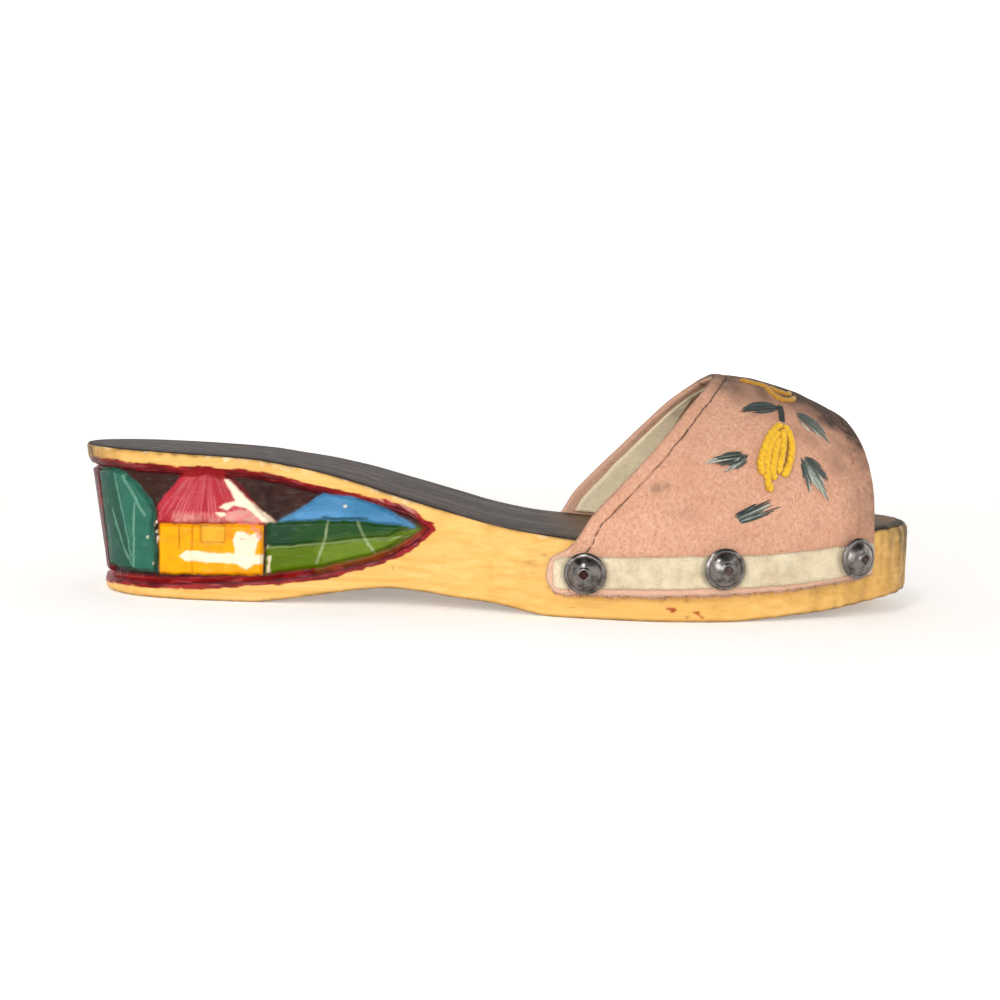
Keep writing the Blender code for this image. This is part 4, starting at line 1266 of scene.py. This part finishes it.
def build_nail(name, side, x, z, finish, rust):
    station = station_of(x)
    position = side_point(side, station, z, np.array(3 * SEAT_GAP + SUEDE + BAND))
    axis = Vector((*outward(side, station), 0))
    turn = np.array(axis.to_track_quat("Z", "Y").to_matrix())
    radius, height = nail_profile().T[..., None]
    angle = ring_angles(NAIL_SIDES)
    in_pit = (radius < PIT_INSIDE) & (height > NAIL_DOME / 2)
    square = np.where(in_pit, 1 + PIT_SQUARENESS * np.cos(4 * angle), 1)
    reach = radius * square
    local = np.stack((reach * np.cos(angle), reach * np.sin(angle), height + 0 * angle), axis=-1)
    rings = len(radius)
    faces = grid_faces(rings, NAIL_SIDES, wrap=True)
    faces += [tuple(range(NAIL_SIDES))[::-1], tuple(range((rings - 1) * NAIL_SIDES, rings * NAIL_SIDES))]
    points = local.reshape(-1, 3) @ turn.T + position
    nail = add_piece(f"dome_{name}", points, faces, [finish], (f"nail_{name}",), sharp=SHARP_ANGLE)
    groove = (np.abs(radius - GROOVE_RADIUS) < 0.18) & (height > 0.5)
    store(nail, "rust", np.repeat(np.where(in_pit, rust, GROOVE_RUST * groove), NAIL_SIDES))


# Embroidery. Points are (distance from the heel back, fraction from the ridge), the same on both sides

CORD_RADIUS, RIDGE_CORD_RADIUS = 1.18, 0.9
FLOWER_CORDS = (
    ((200.4, 0.383), (198.2, 0.411), (196.3, 0.451), (194.5, 0.501), (193.6, 0.541), (194.1, 0.579)),
    ((199.3, 0.416), (197.8, 0.451), (196.3, 0.491), (195.4, 0.541), (195.5, 0.596), (196.4, 0.634)),
    ((199.4, 0.441), (198.4, 0.481), (197.6, 0.521), (197, 0.561), (197.4, 0.596)),
    ((200.6, 0.406), (200.6, 0.441), (200.1, 0.491), (199.3, 0.531), (198.6, 0.573)),
    ((201, 0.383), (202.4, 0.421), (202.9, 0.461), (202.4, 0.511), (201.3, 0.551), (200, 0.583)),
)
RIDGE_CORDS = (
    ((191.3, 0.12), (194.7, 0.14), (197.8, 0.155), (199, 0.17)),
    ((198.6, 0.16), (199.6, 0.205), (202, 0.235), (205.5, 0.21), (206.6, 0.175)),
    ((199.6, 0.145), (201.6, 0.175), (204.4, 0.175), (205.8, 0.14)),
)
STEM = ((201, 0.285), (201.1, 0.32), (200.9, 0.362))
# Leaves: base, tip, half width at the base and at the tip, threads, paleness
LEAVES = (
    ((201.6, 0.288), (188.6, 0.332), 0.9, 2, 15, 0),
    ((205.4, 0.285), (215.6, 0.398), 1, 2.5, 16, 0.6),
    ((190.8, 0.510), (177.6, 0.540), 0.9, 1.5, 11, 0.15),
    ((190.4, 0.514), (182.9, 0.572), 0.7, 0.9, 6, 0.35),
    ((205.6, 0.490), (208.4, 0.645), 0.5, 0.9, 6, 0.2),
    ((205.9, 0.490), (214.1, 0.660), 0.6, 1.7, 10, 0.8),
    ((206.2, 0.490), (214.6, 0.582), 0.6, 1.4, 7, 0.3),
    ((183.8, 0.722), (199.4, 0.650), 0.7, 1.2, 7, 0.05),
    ((184.6, 0.723), (198.6, 0.666), 0.6, 1.4, 8, 0.95),
    ((184.8, 0.730), (201, 0.676), 0.4, 0.8, 5, 0.1),
)
THREAD_RADIUS = 0.27
CORD_SIDES, CORD_STEP, CORD_TWIST = 14, 0.26, 1.7
THREAD_SIDES = 7
STEM_RADIUS = 0.42
STEM_STRANDS = (-0.35, 0.1, 0.5)


def surface_curve(points, side, steps, lift):
    """Smooth line over the vamp through charted points, with the surface normals along it."""
    rows = [(k, *point) for k, point in enumerate(points)]
    at = np.linspace(0, len(points) - 1, steps)
    point, normal, _ = vamp_frame(smooth(rows, 1, at), side * smooth(rows, 2, at))
    return point + normal * (SUEDE + lift), normal


def cord(points, side, number, thickness, soiled_and_shaded):
    """One couched cord, twisted like rope and rounded at its ends: vertices, faces and colours."""
    chart = np.array(points)
    length = path_length(vamp_outer(chart[:, 0], side * chart[:, 1]))[-1]
    steps = max(12, int(length / CORD_STEP))
    line, normals = surface_curve(points, side, steps, thickness * (0.45 - 0.35 * soiled_and_shaded))
    run = np.linspace(0, length, steps)[:, None]
    ends = np.sqrt(np.clip(np.minimum(run, length - run), 0.05, 1))
    angle = ring_angles(CORD_SIDES)
    ply = np.abs(np.cos(angle - run * CORD_TWIST))
    radius = thickness * ends * (0.92 + 0.10 * ply + 0.10 * field(run, 9 * number, 1, 70))
    # Painted light and shade: each cord darkens to its sides and lightens on its plies; the ridge cords are
    # darker still, with the ridge's dirt and painted shade.
    painted_shading = np.clip(0.05 + 0.75 * np.sin(angle) + 0.4 * ply, 0, 1) * (1 - 0.6 * soiled_and_shaded)
    colours = blend("floss_deep", "floss", painted_shading[..., None])
    return *tube(line, radius, CORD_SIDES, normals), colours.reshape(-1, 3)


def build_flower(name, cords, thickness, soiled_and_shaded, finish):
    """Flower heads of thick cords on both sides of the vamp."""
    bundle = Bundle()
    for side in (LATERAL, MEDIAL):
        for number, points in enumerate(cords):
            bundle.add(*cord(points, side, number, thickness, soiled_and_shaded))
    bundle.build(name, finish)


def leaf_thread(base, tip, side, share, widths, random):
    """One long stitch of a leaf, from its base towards the tip: line, normals and thickness."""
    run = np.linspace(0, 1, 16)
    begin = random.uniform(0, 0.08) + 0.12 * share * share
    finish = 1.03 - random.uniform(0, 0.16) - 0.32 * abs(share) ** 1.5
    t = begin + (finish - begin) * run
    bend = random.uniform(-0.3, 0.3) * np.sin(math.pi * run)
    x, across = (start + (end - start) * t for start, end in zip(base, tip))
    point, normal, _ = vamp_frame(x, side * across)
    sideways = np.cross(unit(np.gradient(point, axis=0)), normal)
    spread = share * (widths[0] + (widths[1] - widths[0]) * np.sin(0.8 * math.pi * t)) + bend
    lift = SUEDE - 0.1 + (0.15 + 0.45 * random.random()) * np.sin(math.pi * run) ** 0.6
    line = point + sideways * spread[:, None] + normal * lift[:, None]
    thick = THREAD_RADIUS * random.uniform(0.7, 1.2) * np.clip(np.minimum(run, 1 - run) * 6, 0.2, 1)
    return line, normal, thick[:, None]


def build_leaves(finish):
    """Leaves and stems of long straight stitches, dark with paler strands."""
    random = np.random.default_rng(5)
    bundle = Bundle()
    for side in (LATERAL, MEDIAL):
        for base, tip, base_width, tip_width, threads, paleness in LEAVES:
            for share in np.linspace(-1, 1, threads):
                share += random.uniform(-0.2, 0.2)
                line, normal, thick = leaf_thread(base, tip, side, share, (base_width, tip_width), random)
                tone = blend("slate", "slate_mid", random.random())
                streak = 0.9 if random.random() < 0.6 * paleness else 0.3 * paleness
                pale = np.clip(np.linspace(0.1, 1.3, len(line)), 0, 1) * streak
                colours = tone + (tint("slate_pale") - tone) * np.repeat(pale, THREAD_SIDES)[:, None]
                bundle.add(*tube(line, thick, THREAD_SIDES, normal), colours)
        for sway in STEM_STRANDS:
            line, normal = surface_curve([(x + sway, a) for x, a in STEM], side, 14, 0.25)
            bundle.add(*tube(line, STEM_RADIUS, THREAD_SIDES, normal), tint("slate"))
    bundle.build("leaf_stitches", finish)


STITCH_PITCH, STITCH_LENGTH, STITCH_RADIUS = 2.5, 1.9, 0.16
STITCH_POINTS, STITCH_SIDES = 7, 6
SEAM_END = 0.97


def build_seams(finish):
    """Rows of machine stitches, drawn down into the suede beside the throat and the front edge."""
    bundle = Bundle()
    across = np.linspace(-SEAM_END, SEAM_END, 900)
    hem = throat(across) + seam_line(across) / throat_pace(across)
    arch = 0.12 * np.sin(np.linspace(0, math.pi, STITCH_POINTS)) - 0.06
    for seam_x, sunk, thread in ((hem, 0.36, "thread"), (front(across) - FRONT_SEAM, 0.22, "suede_red")):
        point, normal, _ = vamp_frame(seam_x, across)
        line = point + normal * (SUEDE - sunk)
        run = path_length(line)
        for start in np.arange(1, run[-1] - STITCH_PITCH, STITCH_PITCH):
            at = np.linspace(start, start + STITCH_LENGTH, STITCH_POINTS)
            path, up = (np.stack([np.interp(at, run, column) for column in rows.T], axis=-1)
                        for rows in (line, normal))
            # Stitches near the ridge darken with its dirt and painted shade.
            ridge_dirt_and_shade = 0.65 * step(0.32 - abs(np.interp(start, run, across)), 0.2)
            stitch = tube(path + up * arch[:, None], STITCH_RADIUS, STITCH_SIDES, up)
            bundle.add(*stitch, blend(thread, "suede_soil_and_shade", ridge_dirt_and_shade))
    bundle.build("seam_stitches", finish)


FRAY_COUNT, FRAY_LENGTH, FRAY_RADIUS = 620, 1.3, 0.07
FRAY_ROOT = 0.995
FRAY_TONES = ("suede", "suede_pale", "suede_red", "suede_soil_and_shade")


def build_fray(finish):
    """Loose fibres along the cut lower margins of the suede."""
    random = np.random.default_rng(8)
    bundle = Bundle()
    run = np.linspace(0, 1, 4)[:, None]
    for side in (LATERAL, MEDIAL):
        x = random.uniform(BAND_START + 1, BAND_END, FRAY_COUNT)
        for root, normal, ahead in zip(*vamp_frame(x, np.full(FRAY_COUNT, FRAY_ROOT * side))):
            lean = ahead * random.uniform(-0.9, 0.9) + normal * random.uniform(-0.1, 0.5)
            reach = (lean + (0, 0, -1)) * FRAY_LENGTH * random.uniform(0.35, 1)
            start = root + normal * SUEDE * random.uniform(0.3, 0.9)
            line = start + reach * run + ahead * random.uniform(-0.3, 0.3) * run * run
            fibre = tube(line, FRAY_RADIUS * (1.15 - run), 4, normal)
            bundle.add(*fibre, tint(FRAY_TONES[random.integers(len(FRAY_TONES))]))
    bundle.build("suede_fray", finish)


# Stage, light and camera

CAMERA_PLACE = (115.3, -490, 72.8)
CAMERA_ROLL = math.radians(1.73)
FRAME_PX = 1000
FOCAL_PX = 1644
PHOTO_AXIS_PX = (500, 495)
SHOE_MIDDLE_PX = (520.5, 643.5)
SENSOR = 36
NEAR_CLIP = 0.01
# Floor in metres: radii of its rings, radius of the bend up to the backdrop, height of the backdrop
FLOOR_RINGS = (0.02, 0.3, 0.6, 1, 1.6, 3)
FLOOR_BEND, BACKDROP_TOP = 1.2, 3.2
FLOOR_SIDES = 72
GLOW_REACH = (0.3, 1.6)
GLOW = (0.28, 0.62)
# Lights: name, place in metres, size, power
LIGHTS = (("key", (-0.42, -0.98, 0.34), 0.5, 2.6), ("fill", (-0.15, -1.15, 0.16), 0.8, 3.3),
          ("glint", (-0.30, -0.75, 0.80), 0.2, 2.3), ("back", (0.1, 0.9, 1.1), 1, 1.6))
LIT_POINT = Vector((0, 0, 0.03))
WORLD_COLOUR = (0.96, 0.97, 1, 1)
WORLD_STRENGTH = 0.22


def make_camera():
    """The photo's viewpoint and roll, turned so that the one shoe is in the middle of the frame."""
    right = Vector((math.cos(CAMERA_ROLL), 0, math.sin(CAMERA_ROLL)))
    up = Vector((-math.sin(CAMERA_ROLL), 0, math.cos(CAMERA_ROLL)))
    aside, down = ((middle - axis) / FOCAL_PX for middle, axis in zip(SHOE_MIDDLE_PX, PHOTO_AXIS_PX))
    look = (Vector((0, 1, 0)) + right * aside - up * down).normalized()
    right = look.cross(up).normalized()
    up = right.cross(look)
    camera = bpy.data.objects.new("camera", bpy.data.cameras.new("camera"))
    camera.data.sensor_width = SENSOR
    camera.data.lens = SENSOR * FOCAL_PX / FRAME_PX
    camera.data.clip_start = NEAR_CLIP
    place = (Vector(CAMERA_PLACE) - Vector((LENGTH / 2, 0, 0))) * MM
    turn = Matrix((right, up, -look)).transposed()
    camera.matrix_world = Matrix.Translation(place) @ turn.to_4x4()
    bpy.context.scene.collection.objects.link(camera)
    bpy.context.scene.camera = camera


def make_floor():
    """Pale floor that curves up into a backdrop all round."""
    radius = FLOOR_RINGS[-1]
    profile = [(r, 0) for r in FLOOR_RINGS]
    profile += [(radius + FLOOR_BEND * math.sin(t), FLOOR_BEND * (1 - math.cos(t)))
                for t in np.linspace(0.1, math.pi / 2, 12)]
    profile.append((radius + FLOOR_BEND, BACKDROP_TOP))
    points = [(r * math.cos(t), r * math.sin(t), z) for r, z in profile for t in ring_angles(FLOOR_SIDES)]
    faces = flipped(grid_faces(len(profile), FLOOR_SIDES, wrap=True)) + [tuple(range(FLOOR_SIDES))]
    floor = new_object("floor", points, faces, [floor_finish()])
    store(floor, "glow", np.repeat(np.interp([r for r, _ in profile], GLOW_REACH, GLOW), FLOOR_SIDES))


def make_lights():
    """Soft light from beside the camera and from behind, in a dim white room."""
    for name, place, size, power in LIGHTS:
        light = bpy.data.lights.new(name, "AREA")
        light.size = size
        light.energy = power
        lamp = bpy.data.objects.new(name, light)
        lamp.location = place
        lamp.rotation_euler = (LIT_POINT - Vector(place)).to_track_quat("-Z", "Y").to_euler()
        bpy.context.scene.collection.objects.link(lamp)
    world = bpy.data.worlds.new("studio")
    world.use_nodes = True
    background = world.node_tree.nodes["Background"]
    background.inputs["Color"].default_value = WORLD_COLOUR
    background.inputs["Strength"].default_value = WORLD_STRENGTH
    bpy.context.scene.world = world
    bpy.context.scene.view_settings.view_transform = "Standard"


PIT_RUST = {"rear": 0.75, "middle": 0.4, "front": 0.4}


def main():
    build_sole()
    build_vamp()
    tape = woven_tape("cream_tape", ("tape", "tape_pale"), "tape_stain")
    # The facing gets paler tints than the outer tape: its own cream with painted light on the shaded inside
    # of the throat.
    build_facing(woven_tape("facing_tape", ("facing", "cream"), "tape_pale"))
    pewter = dark_pewter()
    for side_name, side in SIDES.items():
        build_band(side_name, side, tape)
        for nail_name, x, z in NAILS:
            build_nail(f"{side_name}_{nail_name}", side, x, z, pewter, PIT_RUST[nail_name])
    yellow = floss("yellow_floss", "floss_deep", 0.3)
    build_flower("flower_cords", FLOWER_CORDS, CORD_RADIUS, 0, yellow)
    build_flower("ridge_cords", RIDGE_CORDS, RIDGE_CORD_RADIUS, 1, yellow)
    build_leaves(floss("slate_floss", "slate", 0.1))
    build_seams(floss("seam_thread", "suede_soil_and_shade", 0.1))
    build_fray(floss("suede_fibre", "suede_red", 0.2))
    make_floor()
    make_lights()
    make_camera()


main()
